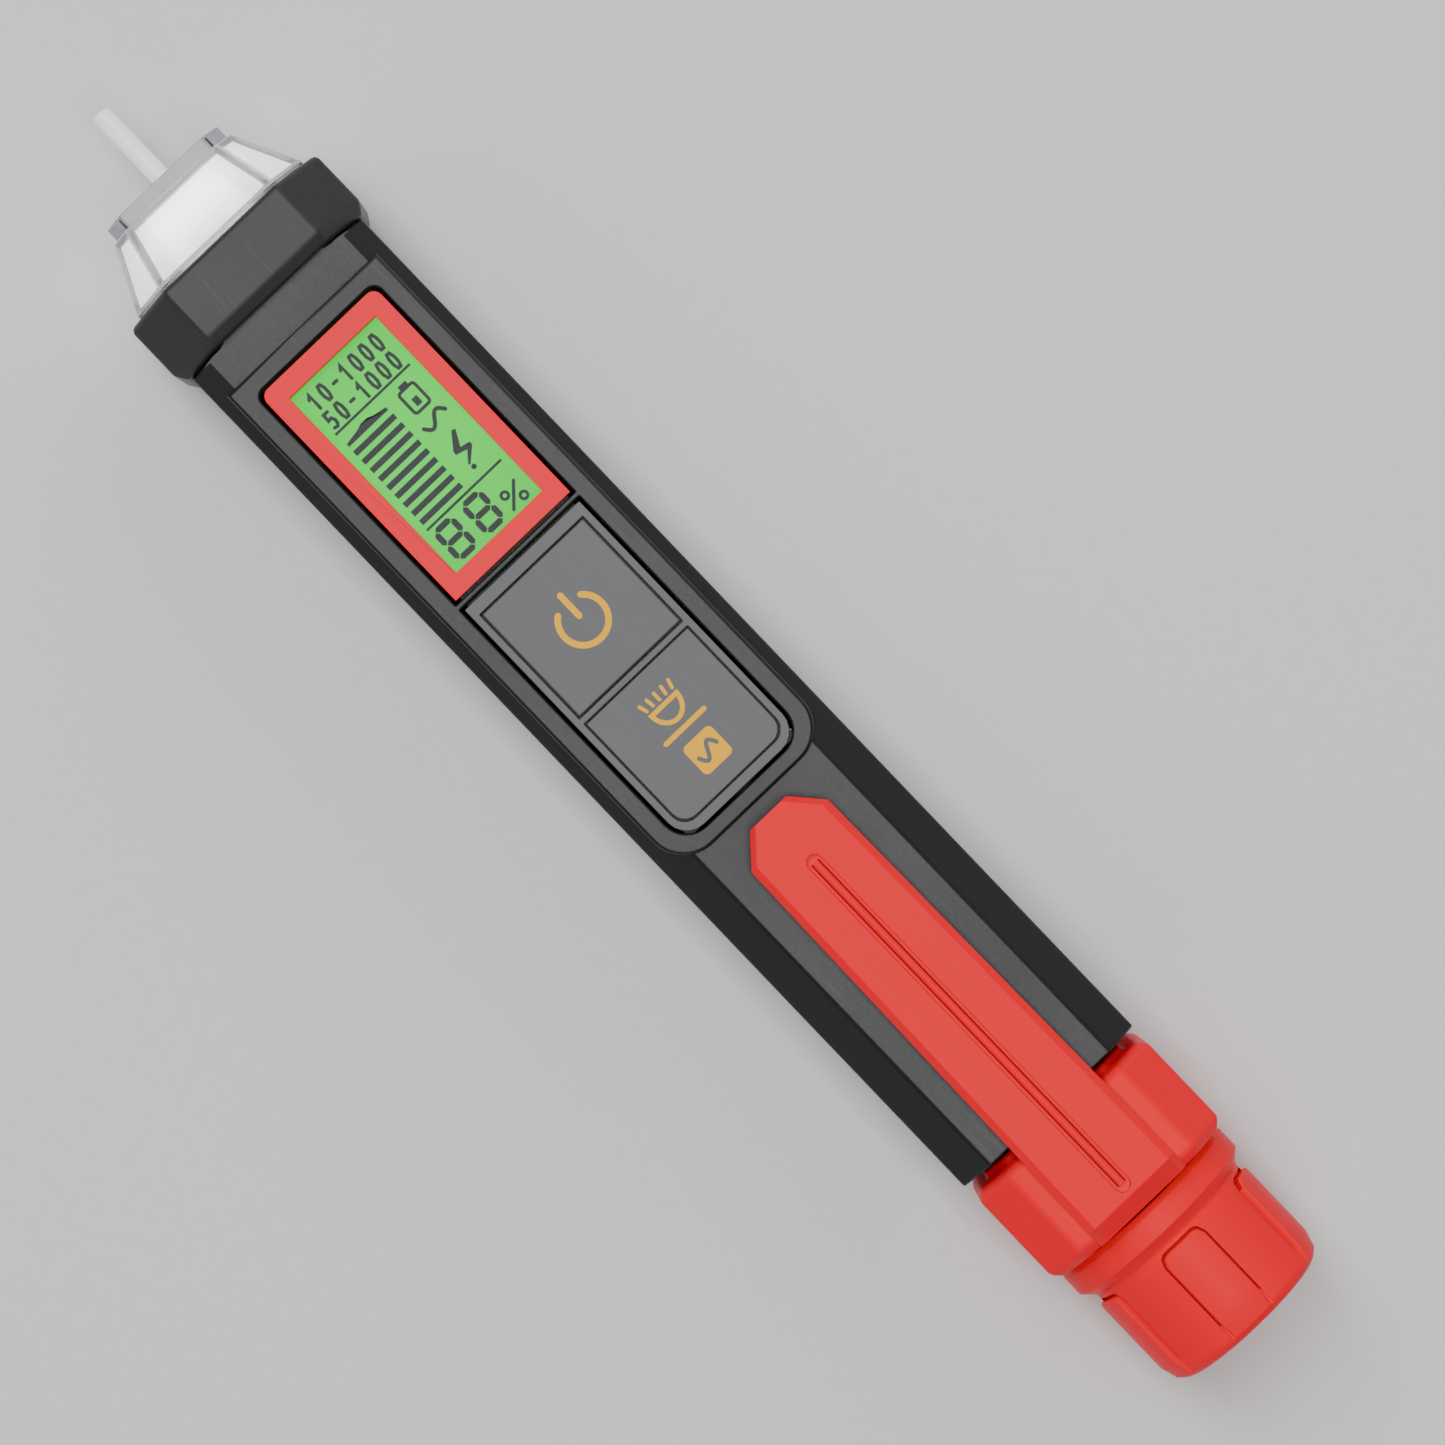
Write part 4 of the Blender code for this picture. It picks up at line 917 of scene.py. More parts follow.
@dataclass
class Nose:
    """Clear faceted lamp nose with its probe and lamps; its facets take material 0, its ribs 1."""

    front_half_width: float = 7.65 * MM
    front_chamfer: float = 1.8 * MM
    rear_chamfer: float = 3.5 * MM
    flatness: float = 0.5 * MM
    edge: float = 0.16 * MM
    ledge: float = 1.5 * MM
    ledge_drop: float = 0.45 * MM
    rib: float = 0.62 * MM
    rib_height: float = 0.3 * MM
    wall: float = 1.3 * MM
    hollow_setback: float = 0.3 * MM
    hollow_chamfer: float = 1.2 * MM
    hollow_rear_chamfer: float = 2.6 * MM
    spigot_half_width: float = 8.6 * MM
    spigot_chamfer: float = 3.3 * MM
    slit_half_width: float = 0.22 * MM
    slit_depth: float = 1.3 * MM
    slit_setback: float = 0.3 * MM
    probe_radius: float = 1.0 * MM
    probe_round: float = 0.4 * MM
    probe_flange: float = 0.9 * MM
    wire_room: float = 0.36 * MM
    lamp_rim: float = 0.5 * MM
    lamp_rim_length: float = 0.8 * MM
    lamp_edge: float = 0.1 * MM

    def section(self, half_width: float, chamfer: float) -> Outline:
        """A section a little less tall than wide."""
        return octagon(half_width, half_width - self.flatness, chamfer)

    def build(self) -> None:
        """Make every piece of the nose."""
        self.build_lens()
        self.build_probe()
        self.build_lamps()
        WARDROBE.dress_nodes(Finish.WHITE, "led_holder")
        WARDROBE.dress_nodes(Finish.STEEL, "antenna_wire")

    def build_lens(self) -> None:
        """The lamp nose: a ledge, ribbed facets, a spigot and a hollow."""
        low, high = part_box("nose_cone")
        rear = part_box("front_collar")[0].x - GAP
        rear_half = (high.y - low.y) / 2
        front = self.section(self.front_half_width, self.front_chamfer)
        lip = self.section(self.front_half_width - self.ledge_drop, self.front_chamfer)
        spigot = self.section(self.spigot_half_width, self.spigot_chamfer)
        ledge_rear = low.x + self.ledge
        lens = Bench.drawn("lamp_nose_lens", AXIS_Z, [
            (low.x, lip), (ledge_rear, lip), (ledge_rear, front),
            (rear, self.section(rear_half, self.rear_chamfer)), (rear, spigot), (high.x, spigot)])
        Bench.inset_where(
            lens, lambda face: (ledge_rear < face.calc_center_median().x < rear
                                and abs(face.normal.x) < 0.7), self.rib, self.rib_height)
        Bench.round_edges(lens, self.edge, 3, 12.0)
        inner = self.section(self.spigot_half_width - self.wall, self.hollow_rear_chamfer)
        core = Bench.drawn("nose_core", AXIS_Z, [
            (ledge_rear + self.hollow_setback,
             self.section(self.front_half_width - 2 * self.wall, self.hollow_chamfer)),
            (rear - MM, inner), (high.x + MM, inner)])
        Bench.cut(lens, core)
        hole = Bench.rod("nose_hole", low.x - MM, ledge_rear + 2 * MM, 0.0, AXIS_Z,
                         self.probe_radius + 0.1 * MM)
        Bench.cut(lens, hole)
        self.cut_slits(lens, low.x, ledge_rear)
        Bench.smooth(lens, 30.0)
        WARDROBE.dress(lens, Finish.LENS, Body.HOUSING, ["nose_cone"], [Finish.RIB, Finish.COLLAR])

    def cut_slits(self, lens: bpy.types.Object, front: float, rear: float) -> None:
        """Two short slits in the ledge, their insides given the black collar finish as painted shade; the
        rest of the ledge looks like the ribs.
        """
        away = self.front_half_width - self.front_chamfer - 0.1 * MM
        top = AXIS_Z + self.front_half_width
        floor = top - self.slit_depth
        for y in (-away, away):
            slit = Bench.box("nose_slit", (front + self.slit_setback, y - self.slit_half_width, floor),
                             (rear, y + self.slit_half_width, top))
            Bench.cut(lens, slit)
        Bench.number_faces(lens, 1, lambda place: place.x < rear)
        # painted shade: the slits' walls take material 2, the black collar finish
        Bench.number_faces(lens, 2, lambda place: (
            place.x < rear and place.z > floor - 0.1 * MM
            and abs(abs(place.y) - away) < 1.1 * self.slit_half_width))

    def build_probe(self) -> None:
        """Thin probe with a round tip, a bore for its wire and a flange behind the nose."""
        low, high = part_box("probe_sheath")
        flange = high.x - self.probe_flange
        flange_radius = (high.y - low.y) / 2
        corner = self.probe_round
        tip = [(low.x + corner - x, self.probe_radius - corner + r)
               for x, r in arc((0.0, 0.0), corner, 0.0, 90.0, 6)]
        bore_end = low.x + 1.3 * MM
        profile = [(low.x, 0.0), *tip, (flange, self.probe_radius), (flange, flange_radius),
                   (high.x, flange_radius), (high.x, self.wire_room), (bore_end, self.wire_room),
                   (bore_end - 0.2 * MM, 0.0)]
        probe = Bench.turned("probe_rod", profile, (0.0, AXIS_Z), sides=48)
        Bench.smooth(probe)
        WARDROBE.dress(probe, Finish.PROBE, Body.HOUSING, ["probe_sheath"])

    def build_lamps(self) -> None:
        """Two torch lamps and the alarm lamp, each a domed body with a rim at its foot."""
        for node, finish in (("torch_led_left", Finish.LAMP), ("torch_led_right", Finish.LAMP),
                             ("alarm_led", Finish.ALARM)):
            low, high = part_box(node)
            centre = (low + high) / 2
            rim = (high.y - low.y) / 2
            radius = rim - self.lamp_rim
            eased_at = high.x - self.lamp_edge
            rim_front = eased_at - self.lamp_rim_length
            dome = [(low.x + radius + x, r) for x, r in arc((0.0, 0.0), radius, 180.0, 90.0, 10)]
            lamp = Bench.turned(node + "_body", [
                *dome, (rim_front, radius), (rim_front, rim), (eased_at, rim),
                (high.x, rim - self.lamp_edge), (high.x, 0.0)], (centre.y, centre.z), sides=40)
            Bench.smooth(lamp)
            WARDROBE.dress(lamp, finish, Body.HOUSING, [node])


# ---------------------------------------------------------------- housing

@dataclass
class Housing:
    """Collar, the two body halves with their seam, and the screws.

    The neck and the nose's room are octagons: half width, half height and chamfer. The seam's
    rebate and tongue are bars: distance from the outside, then bottom and top from the axis. A
    screw's well has a radius and a depth, its cross recess a half length, half width and depth.
    """

    wall: float = 1.5 * MM
    chamfer: float = 3.25 * MM
    edge: float = 0.4 * MM
    rim: float = 0.22 * MM
    neck: tuple[float, float, float] = (10.4 * MM, 9.9 * MM, 4.3 * MM)
    nose_room: tuple[float, float, float] = (8.9 * MM, 8.4 * MM, 3.45 * MM)
    collar_chamfer: float = 4.85 * MM
    collar_front_ease: float = 0.4 * MM
    collar_rear_ease: float = 0.8 * MM
    collar_rear_slope: float = 1.2 * MM
    collar_lip: float = 1.3 * MM
    recess_depth: float = 0.9 * MM
    surround_half_width: float = 9.74 * MM
    surround_front: float = 2.15 * MM
    surround_border: float = 1.9 * MM
    surround_corner: float = 4.0 * MM
    surround_edge: float = 0.38 * MM
    bezel_corner: float = 1.0 * MM
    keypad_corner: float = 2.7 * MM
    seam_edge: float = 0.12 * MM
    rebate: tuple[float, float, float] = (0.7 * MM, -MM, 1.1 * MM)
    tongue: tuple[float, float, float] = (0.95 * MM, -0.6 * MM, 0.85 * MM)
    neck_hole: float = 7.8 * MM
    boss_radius: float = 3.0 * MM
    upper_boss_radius: float = 2.1 * MM
    shank_room: float = 1.2 * MM
    shank_reach: float = 5.3 * MM
    well: tuple[float, float] = (2.1 * MM, 2.5 * MM)
    sound_hole: float = 0.6 * MM
    sound_ring: float = 2.6 * MM
    sound_holes: int = 6
    head_height: float = 1.4 * MM
    head_edge: float = 0.6 * MM
    cross: tuple[float, float, float] = (1.1 * MM, 0.22 * MM, 0.8 * MM)
    shank_radius: float = 0.86 * MM
    front: float = field(init=False)
    rear: float = field(init=False)
    half_width: float = field(init=False)
    half_height: float = field(init=False)
    body_front: float = field(init=False)
    screws: dict[str, Point] = field(init=False)

    def __post_init__(self) -> None:
        """Take the body's outside and the screws' places from the frame."""
        low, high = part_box("lower_housing")
        self.front, self.rear = low.x, high.x
        self.half_width = (high.y - low.y) / 2
        self.half_height = AXIS_Z - low.z
        self.body_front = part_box("front_collar")[1].x + GAP
        self.screws = {}
        for label in ("left", "right"):
            low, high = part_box("housing_screw_" + label)
            self.screws[label] = tuple((low + high) / 2)[:2]

    def build(self) -> None:
        """Make every piece of the housing."""
        self.build_collar()
        self.build_face()
        self.build_back()
        self.build_screws()

    def build_collar(self) -> None:
        """Octagonal collar, eased at both ends, with a lip that holds the nose."""
        low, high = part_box("front_collar")
        w, h, c = (high.y - low.y) / 2, AXIS_Z - low.z, self.collar_chamfer
        collar = Bench.drawn("collar_shell", AXIS_Z, [
            (low.x, eased(w, h, c, self.collar_front_ease)),
            (low.x + self.collar_front_ease, octagon(w, h, c)),
            (high.x - self.collar_rear_slope, octagon(w, h, c)),
            (high.x, eased(w, h, c, self.collar_rear_ease))])
        Bench.round_edges(collar, self.edge, 4, 20.0)
        lip, seat = octagon(*self.nose_room), eased(*self.neck, -GAP)
        lip_rear = low.x + self.collar_lip
        bore = Bench.drawn("collar_bore", AXIS_Z, [
            (low.x - MM, lip), (lip_rear, lip), (lip_rear, seat), (high.x + MM, seat)])
        Bench.cut(collar, bore)
        Bench.flatten(collar)
        WARDROBE.dress(collar, Finish.COLLAR, Body.HOUSING, ["front_collar"])

    def blank(self, name: str) -> bpy.types.Object:
        """The whole body's outside, with its edges rounded."""
        neck, body = octagon(*self.neck), octagon(self.half_width, self.half_height, self.chamfer)
        blank = Bench.drawn(name, AXIS_Z, [
            (self.front, neck), (self.body_front, neck), (self.body_front, body), (self.rear, body)])
        Bench.round_edges(blank, self.edge, 4)
        return blank

    def hollow(self, shell: bpy.types.Object) -> None:
        """Open the inside, up to a rear wall with a hole for the battery sleeve's neck."""
        nose = octagon(*self.nose_room)
        room = eased(self.half_width, self.half_height, self.chamfer, self.wall)
        inside = Bench.drawn("room", AXIS_Z, [
            (self.front - MM, nose), (self.body_front, nose), (self.body_front + self.wall, room),
            (self.rear - self.wall, room)])
        Bench.cut(shell, inside)
        hole = Bench.rod("neck_hole", self.rear - 2 * self.wall, self.rear + MM, 0.0, AXIS_Z,
                         self.neck_hole, 96)
        Bench.cut(shell, hole)

    def part(self, shell: bpy.types.Object, side: int) -> None:
        """Keep one side of the seam and break its edge.

        Args:
            shell: the body.
            side: 1 keeps the face half, -1 the back half.
        """
        reach = 30 * MM
        z = AXIS_Z + side * GAP / 2
        low, high = sorted((z, z - side * reach))
        waste = Bench.box("waste", (self.front - MM, -reach, low), (self.rear + MM, reach, high))
        Bench.cut(shell, waste)
        outside = self.half_width - 0.05 * MM
        Bench.bevel_where(shell, lambda place: abs(place.z - z) < LEVEL and abs(place.y) > outside,
                          self.seam_edge, 2)

    def seam(self, name: str, outer: float, z0: float, z1: float) -> list[bpy.types.Object]:
        """Bars along both sides of the seam, from the inside of the wall outwards.

        Args:
            name: the bars' name.
            outer: how far they stay from the body's outside.
            z0: their bottom, from the axis.
            z1: their top, from the axis.

        Returns:
            The two bars.
        """
        inner = self.half_width - self.wall + 0.05 * MM
        bars = []
        for side in (-1, 1):
            y = sorted((side * inner, side * (self.half_width - outer)))
            bars.append(Bench.box(name, (self.body_front + self.wall, y[0], AXIS_Z + z0),
                                  (self.rear - self.wall - 0.2 * MM, y[1], AXIS_Z + z1)))
        return bars

    def build_face(self) -> None:
        """Face half: surround with two windows, low flat behind the collar, bosses, seam rebate."""
        shell = self.blank("face_shell")
        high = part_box("upper_housing")[1]
        bezel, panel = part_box("display_bezel"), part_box("keypad_panel")
        crown = AXIS_Z + self.half_height
        start = bezel[0].x - self.surround_front
        end, w, r = panel[1].x + self.surround_border, self.surround_half_width, self.surround_corner
        outline = [(start, -w), (end - r, -w), *arc((end - r, r - w), r, -90.0, 0.0, 12),
                   *arc((end - r, w - r), r, 0.0, 90.0, 12), (end - r, w), (start, w)]
        surround = Bench.slab("surround", outline, crown - self.chamfer / 2, high.z)
        Bench.bevel_where(surround, lambda place: abs(place.z - high.z) < LEVEL, self.surround_edge, 4)
        Bench.unite(shell, surround)
        self.hollow(shell)
        for x, y in self.screws.values():
            boss = Bench.post("boss", x, y, AXIS_Z, crown - self.wall + 0.2 * MM,
                              self.upper_boss_radius)
            Bench.unite(shell, boss)
            hole = Bench.post("pilot", x, y, AXIS_Z - MM, AXIS_Z + self.shank_reach, self.shank_room)
            Bench.cut(shell, hole)
        for (near, far), front_round, rear_round in ((bezel, self.bezel_corner, 0.0),
                                                     (panel, 0.0, self.keypad_corner)):
            opening = window_outline(near.x - GAP, far.x + GAP, far.y + GAP, front_round, rear_round)
            Bench.cut(shell, Bench.slab("window", opening, AXIS_Z, high.z + MM))
        Bench.bevel_where(shell, lambda place: (
            abs(place.z - high.z) < LEVEL and bezel[0].x - MM < place.x < panel[1].x + MM
            and abs(place.y) < panel[1].y + 0.5 * MM), self.rim, 3)
        recess = Bench.box("recess", (self.body_front - 3 * MM, -20 * MM, crown - self.recess_depth),
                           (start, 20 * MM, high.z + MM))
        Bench.cut(shell, recess)
        for bar in self.seam("rebate", *self.rebate):
            Bench.cut(shell, bar)
        self.part(shell, 1)
        Bench.flatten(shell)
        WARDROBE.dress(shell, Finish.BLACK, Body.HOUSING, ["upper_housing"])

    def build_back(self) -> None:
        """Back half: screw wells, sound holes and the seam's tongue."""
        shell = self.blank("back_shell")
        back = AXIS_Z - self.half_height
        self.hollow(shell)
        for x, y in self.screws.values():
            boss = Bench.post("boss", x, y, back + self.wall - 0.2 * MM, AXIS_Z, self.boss_radius)
            Bench.unite(shell, boss)
            for radius, top in (self.well, (self.shank_room, self.half_height + MM)):
                hole = Bench.post("hole", x, y, back - MM, back + top, radius)
                Bench.cut(shell, hole)
        low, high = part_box("buzzer")
        centre = ((low.x + high.x) / 2, 0.0)
        for x, y in [centre] + arc(centre, self.sound_ring, 0.0, 300.0, self.sound_holes - 1):
            hole = Bench.post("sound_hole", x, y, back - MM, back + 2 * self.wall, self.sound_hole, 24)
            Bench.cut(shell, hole)
        self.part(shell, -1)
        for bar in self.seam("tongue", *self.tongue):
            Bench.unite(shell, bar)
        Bench.flatten(shell)
        WARDROBE.dress(shell, Finish.BLACK, Body.HOUSING, ["lower_housing"])

    def build_screws(self) -> None:
        """Pan-head screws with a cross recess and a plain shank."""
        long, short, deep = self.cross
        for label, (x, y) in self.screws.items():
            node = "housing_screw_" + label
            low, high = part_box(node)
            head_top = low.z + self.head_height
            head = Bench.post("screw_head_" + label, x, y, low.z, head_top, (high.y - low.y) / 2, 40)
            Bench.bevel_where(head, lambda place: abs(place.z - low.z) < LEVEL, self.head_edge, 5)
            for dx, dy in ((long, short), (short, long)):
                slot = Bench.box("cross", (x - dx, y - dy, low.z - MM), (x + dx, y + dy, low.z + deep))
                Bench.cut(head, slot)
            shank = Bench.post("shank", x, y, head_top - 0.1 * MM, high.z, self.shank_radius, 24)
            Bench.unite(head, shank)
            Bench.smooth(head)
            WARDROBE.dress(head, Finish.STEEL, Body.HOUSING, [node])


# ---------------------------------------------------------------- display

# Small figures as strokes in a square of side 1, with points (across, down) from its top left.
# The flag says whether the stroke is a loop.
STROKES: dict[str, tuple[Outline, bool]] = {
    "0": ([(0.0, 0.3), (0.25, 0.0), (0.75, 0.0), (1.0, 0.3),
           (1.0, 0.7), (0.75, 1.0), (0.25, 1.0), (0.0, 0.7)], True),
    "1": ([(0.1, 0.25), (0.6, 0.0), (0.6, 1.0)], False),
    "5": ([(0.95, 0.0), (0.1, 0.0), (0.05, 0.44), (0.7, 0.4),
           (1.0, 0.6), (0.95, 0.85), (0.65, 1.0), (0.0, 0.95)], False),
    "-": ([(0.15, 0.5), (0.9, 0.5)], False),
}


@dataclass
class Display:
    """Bezel, cover, lit glass and the dark marks on it.

    The marks' own places and sizes are in millimetres: x from the front edge of the glass that
    shows, y from the tool's middle.
    """

    bezel_edge: float = 0.22 * MM
    cover_edge: float = 0.12 * MM
    mark_lift: float = 0.03 * MM
    mark_height: float = 0.05 * MM
    line: float = 0.34
    rule: float = 0.26
    rule_reach: float = 4.85
    row_reach: float = 4.75
    bars: int = 9
    bar_pitch: float = 1.126
    bar_width: float = 0.6
    front: float = field(init=False)
    heights: tuple[float, float] = field(init=False)
    parts: list[bpy.types.Object] = field(default_factory=list)

    def __post_init__(self) -> None:
        """Take the glass's front edge and its face from the frame."""
        self.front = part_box("display_window")[0].x - GAP
        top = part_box("lcd_glass")[1].z + self.mark_lift
        self.heights = (top, top + self.mark_height)

    def build(self) -> None:
        """Make every piece of the display."""
        bezel = Bench.copy_of("red_bezel", "display_bezel")
        Bench.round_edges(bezel, self.bezel_edge, 3)
        WARDROBE.dress(bezel, Finish.BEZEL, Body.HOUSING, ["display_bezel"])
        cover = Bench.box("clear_cover", *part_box("display_window"))
        Bench.round_edges(cover, self.cover_edge, 2)
        WARDROBE.dress(cover, Finish.WINDOW, Body.HOUSING, ["display_window"])
        WARDROBE.dress_nodes(Finish.DISPLAY, "lcd_glass")
        WARDROBE.dress_nodes(Finish.WHITE, "lcd_backlight")
        WARDROBE.dress_nodes(Finish.RUBBER, "zebra_strip")
        self.build_marks()

    def build_marks(self) -> None:
        """Draw the marks on the glass, from the probe's end to the keys."""
        self.number_row("10-1000", 0.75)
        self.number_row("50-1000", 3.1)
        for x in (5.25, 17.72):
            self.block(x, -self.rule_reach, x + self.rule, self.rule_reach)
        self.battery_mark()
        self.wave_mark()
        self.bolt_mark()
        self.level_bars()
        for y in (-4.75, -1.15):
            self.eight(18.25, y, 4.0, 2.65, 0.6)
        self.percent_mark()
        marks = Bench.merge("display_marks", self.parts)
        WARDROBE.dress(marks, Finish.SEGMENT, Body.HOUSING)

    def placed(self, points: Outline) -> Outline:
        """A mark's points, in metres and in the frame."""
        return [(self.front + x * MM, y * MM) for x, y in points]

    def block(self, x0: float, y0: float, x1: float, y1: float) -> None:
        """A rectangular mark."""
        low, high = self.placed([(x0, y0), (x1, y1)])
        self.parts.append(Bench.box("mark", (*low, self.heights[0]), (*high, self.heights[1])))

    def line_mark(self, path: Outline, width: float, closed: bool = False) -> None:
        """A stroke of even width."""
        self.parts.append(Bench.ribbon("mark", self.placed(path), width * MM, *self.heights,
                                       closed=closed))

    def shape(self, outline: Outline) -> None:
        """A filled outline."""
        self.parts.append(Bench.slab("mark", self.placed(outline), *self.heights))

    def number_row(self, figures: str, x: float) -> None:
        """A row of small figures right across the glass."""
        pitch = 2 * self.row_reach / len(figures)
        tall, wide = 2.0 - self.line, pitch - 0.44 - self.line
        top = x + self.line / 2
        for i, figure in enumerate(figures):
            path, closed = STROKES[figure]
            left = i * pitch - self.row_reach + 0.3
            points = [(top + down * tall, left + across * wide) for across, down in path]
            self.line_mark(points, self.line, closed)

    def battery_mark(self) -> None:
        """Outline of a cell with its nub and a level dot."""
        outline = rounded_rectangle(6.75, 9.25, 2.0, 3.9, 0.3, 3)
        self.line_mark(outline, 0.32, closed=True)
        self.block(6.2, 2.45, 6.65, 3.45)
        self.block(7.9, 2.62, 8.8, 3.28)

    def wave_mark(self) -> None:
        """One period of alternating current."""
        path = [(10.75 + 0.62 * math.sin(math.radians(a)), 1.55 + 2.8 * a / 360.0)
                for a in range(0, 361, 15)]
        self.line_mark(path, 0.4)

    def bolt_mark(self) -> None:
        """Spark with a dot below it."""
        self.shape([(12.6, 3.35), (12.75, 3.75), (14.35, 2.9), (14.55, 3.85), (14.9, 3.9),
                    (16.2, 2.45), (16.0, 2.3), (14.95, 3.2), (14.6, 2.05), (14.2, 2.1)])
        self.line_mark(arc((16.55, 2.55), 0.14, 0.0, 300.0, 8), 0.26)

    def level_bars(self) -> None:
        """Tapered first bar and the bars of equal length after it."""
        self.shape([(6.25, -1.6), (6.75, -4.7), (7.1, -4.7), (7.1, 0.4), (6.75, 0.4), (6.25, -2.4)])
        for i in range(self.bars):
            x = 7.65 + i * self.bar_pitch
            self.block(x, -4.75, x + self.bar_width, 0.5)

    def eight(self, x: float, y: float, height: float, width: float, w: float) -> None:
        """A seven-segment figure with every segment lit, reading across the tool.

        Args:
            x: its top, which lies towards the probe.
            y: its left side.
            height: along the tool.
            width: across the tool.
            w: how wide a segment is.
        """
        half, air = height / 2, 0.1 * w
        left, right = y + w / 2 + air, y + width - w / 2 - air
        for top in (x, x + half - w / 2, x + height - w):
            self.shape([(top + w / 2, left), (top + w, left + w / 2), (top + w, right - w / 2),
                        (top + w / 2, right), (top, right - w / 2), (top, left + w / 2)])
        for top, foot in ((x + w / 2 + air, x + half - air),
                          (x + half + air, x + height - w / 2 - air)):
            for side in (y, y + width - w):
                self.shape([(top, side + w / 2), (top + w / 2, side), (foot - w / 2, side),
                            (foot, side + w / 2), (foot - w / 2, side + w), (top + w / 2, side + w)])

    def percent_mark(self) -> None:
        """Two rings and a slash."""
        self.line_mark([(22.1, 2.45), (20.05, 4.35)], 0.32)
        for x, y in ((20.55, 2.75), (21.75, 4.1)):
            self.line_mark(arc((x, y), 0.36, 0.0, 345.0, 20), 0.3, closed=True)


# ---------------------------------------------------------------- keypad

@dataclass
class Keypad:
    """Panel, keys with inlaid signs, switches and plungers."""

    edge: float = 0.18 * MM
    key_edge: float = 0.3 * MM
    inlay_depth: float = 0.05 * MM
    inlay_height: float = 0.04 * MM
    wave_lift: float = 0.03 * MM
    power_line: float = 0.62 * MM
    head_line: float = 0.46 * MM
    ray_line: float = 0.34 * MM
    rule_line: float = 0.5 * MM
    wave_line: float = 0.42 * MM

    def build(self) -> None:
        """Make every piece of the keypad."""
        panel = Bench.copy_of("key_panel", "keypad_panel")
        Bench.round_edges(panel, self.edge, 3)
        WARDROBE.dress(panel, Finish.KEYPAD, Body.HOUSING, ["keypad_panel"])
        for label, body in (("power", Body.POWER_KEY), ("torch", Body.TORCH_KEY)):
            key = Bench.copy_of(label + "_key_top", label + "_button")
            Bench.round_edges(key, self.key_edge, 4)
            WARDROBE.dress(key, Finish.KEYPAD, body, [label + "_button"])
            WARDROBE.dress_nodes(Finish.CHIP, "plunger_" + label)
            WARDROBE.dress_nodes(Finish.STEEL, "switch_" + label)
        self.build_power_sign()
        self.build_torch_sign()

    @staticmethod
    def on_key(node: str, points: Outline) -> Outline:
        """A sign's points, given in millimetres from the key's middle."""
        low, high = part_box(node)
        middle = (low.x + high.x) / 2
        return [(middle + x * MM, y * MM) for x, y in points]

    def stroke(self, node: str, path: Outline, width: float, closed: bool = False,
               lift: float = 0.0, name: str = "stroke") -> bpy.types.Object:
        """A stroke on a key, its path in millimetres from the key's middle."""
        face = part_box(node)[1].z + lift
        return Bench.ribbon(name, self.on_key(node, path), width, face - self.inlay_depth,
                            face + self.inlay_height, closed=closed)

    def build_power_sign(self) -> None:
        """Broken ring with a bar through the gap."""
        ring = self.stroke("power_button", arc((0.28, 0.0), 2.4, -142.0, 142.0, 48), self.power_line)
        bar = self.stroke("power_button", [(-2.85, 0.0), (-0.25, 0.0)], self.power_line)
        WARDROBE.dress(Bench.merge("power_sign", [ring, bar]), Finish.AMBER, Body.POWER_KEY)

    def build_torch_sign(self) -> None:
        """Torch with rays, a rule, and a rounded badge with a wave on it."""
        node = "torch_button"
        flat, half, depth = -2.95, 1.62, 1.85
        head = [(flat, -half), (flat, half)] + [
            (flat + depth * math.sin(math.radians(a)), half * math.cos(math.radians(a)))
            for a in range(12, 169, 12)]
        strokes = [self.stroke(node, head, self.head_line, closed=True)]
        for i in range(-2, 3):
            y = i * 0.82
            strokes.append(self.stroke(node, [(-3.58, y), (-4.38, y * 1.14)], self.ray_line))
        strokes.append(self.stroke(node, [(-0.1, -2.45), (-0.1, 2.45)], self.rule_line))
        badge = self.on_key(node, rounded_rectangle(1.25, 4.75, -1.78, 1.78, 0.55))
        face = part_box(node)[1].z
        strokes.append(Bench.slab("badge", badge, face - self.inlay_depth, face + self.inlay_height))
        WARDROBE.dress(Bench.merge("torch_sign", strokes), Finish.AMBER, Body.TORCH_KEY)
        wave = [(3.0 + 0.75 * math.sin(math.radians(a)), -1.15 + 2.3 * a / 360.0)
                for a in range(0, 361, 15)]
        curl = self.stroke(node, wave, self.wave_line, lift=self.wave_lift, name="torch_badge_wave")
        WARDROBE.dress(curl, Finish.KEYPAD, Body.TORCH_KEY)


# ---------------------------------------------------------------- clip

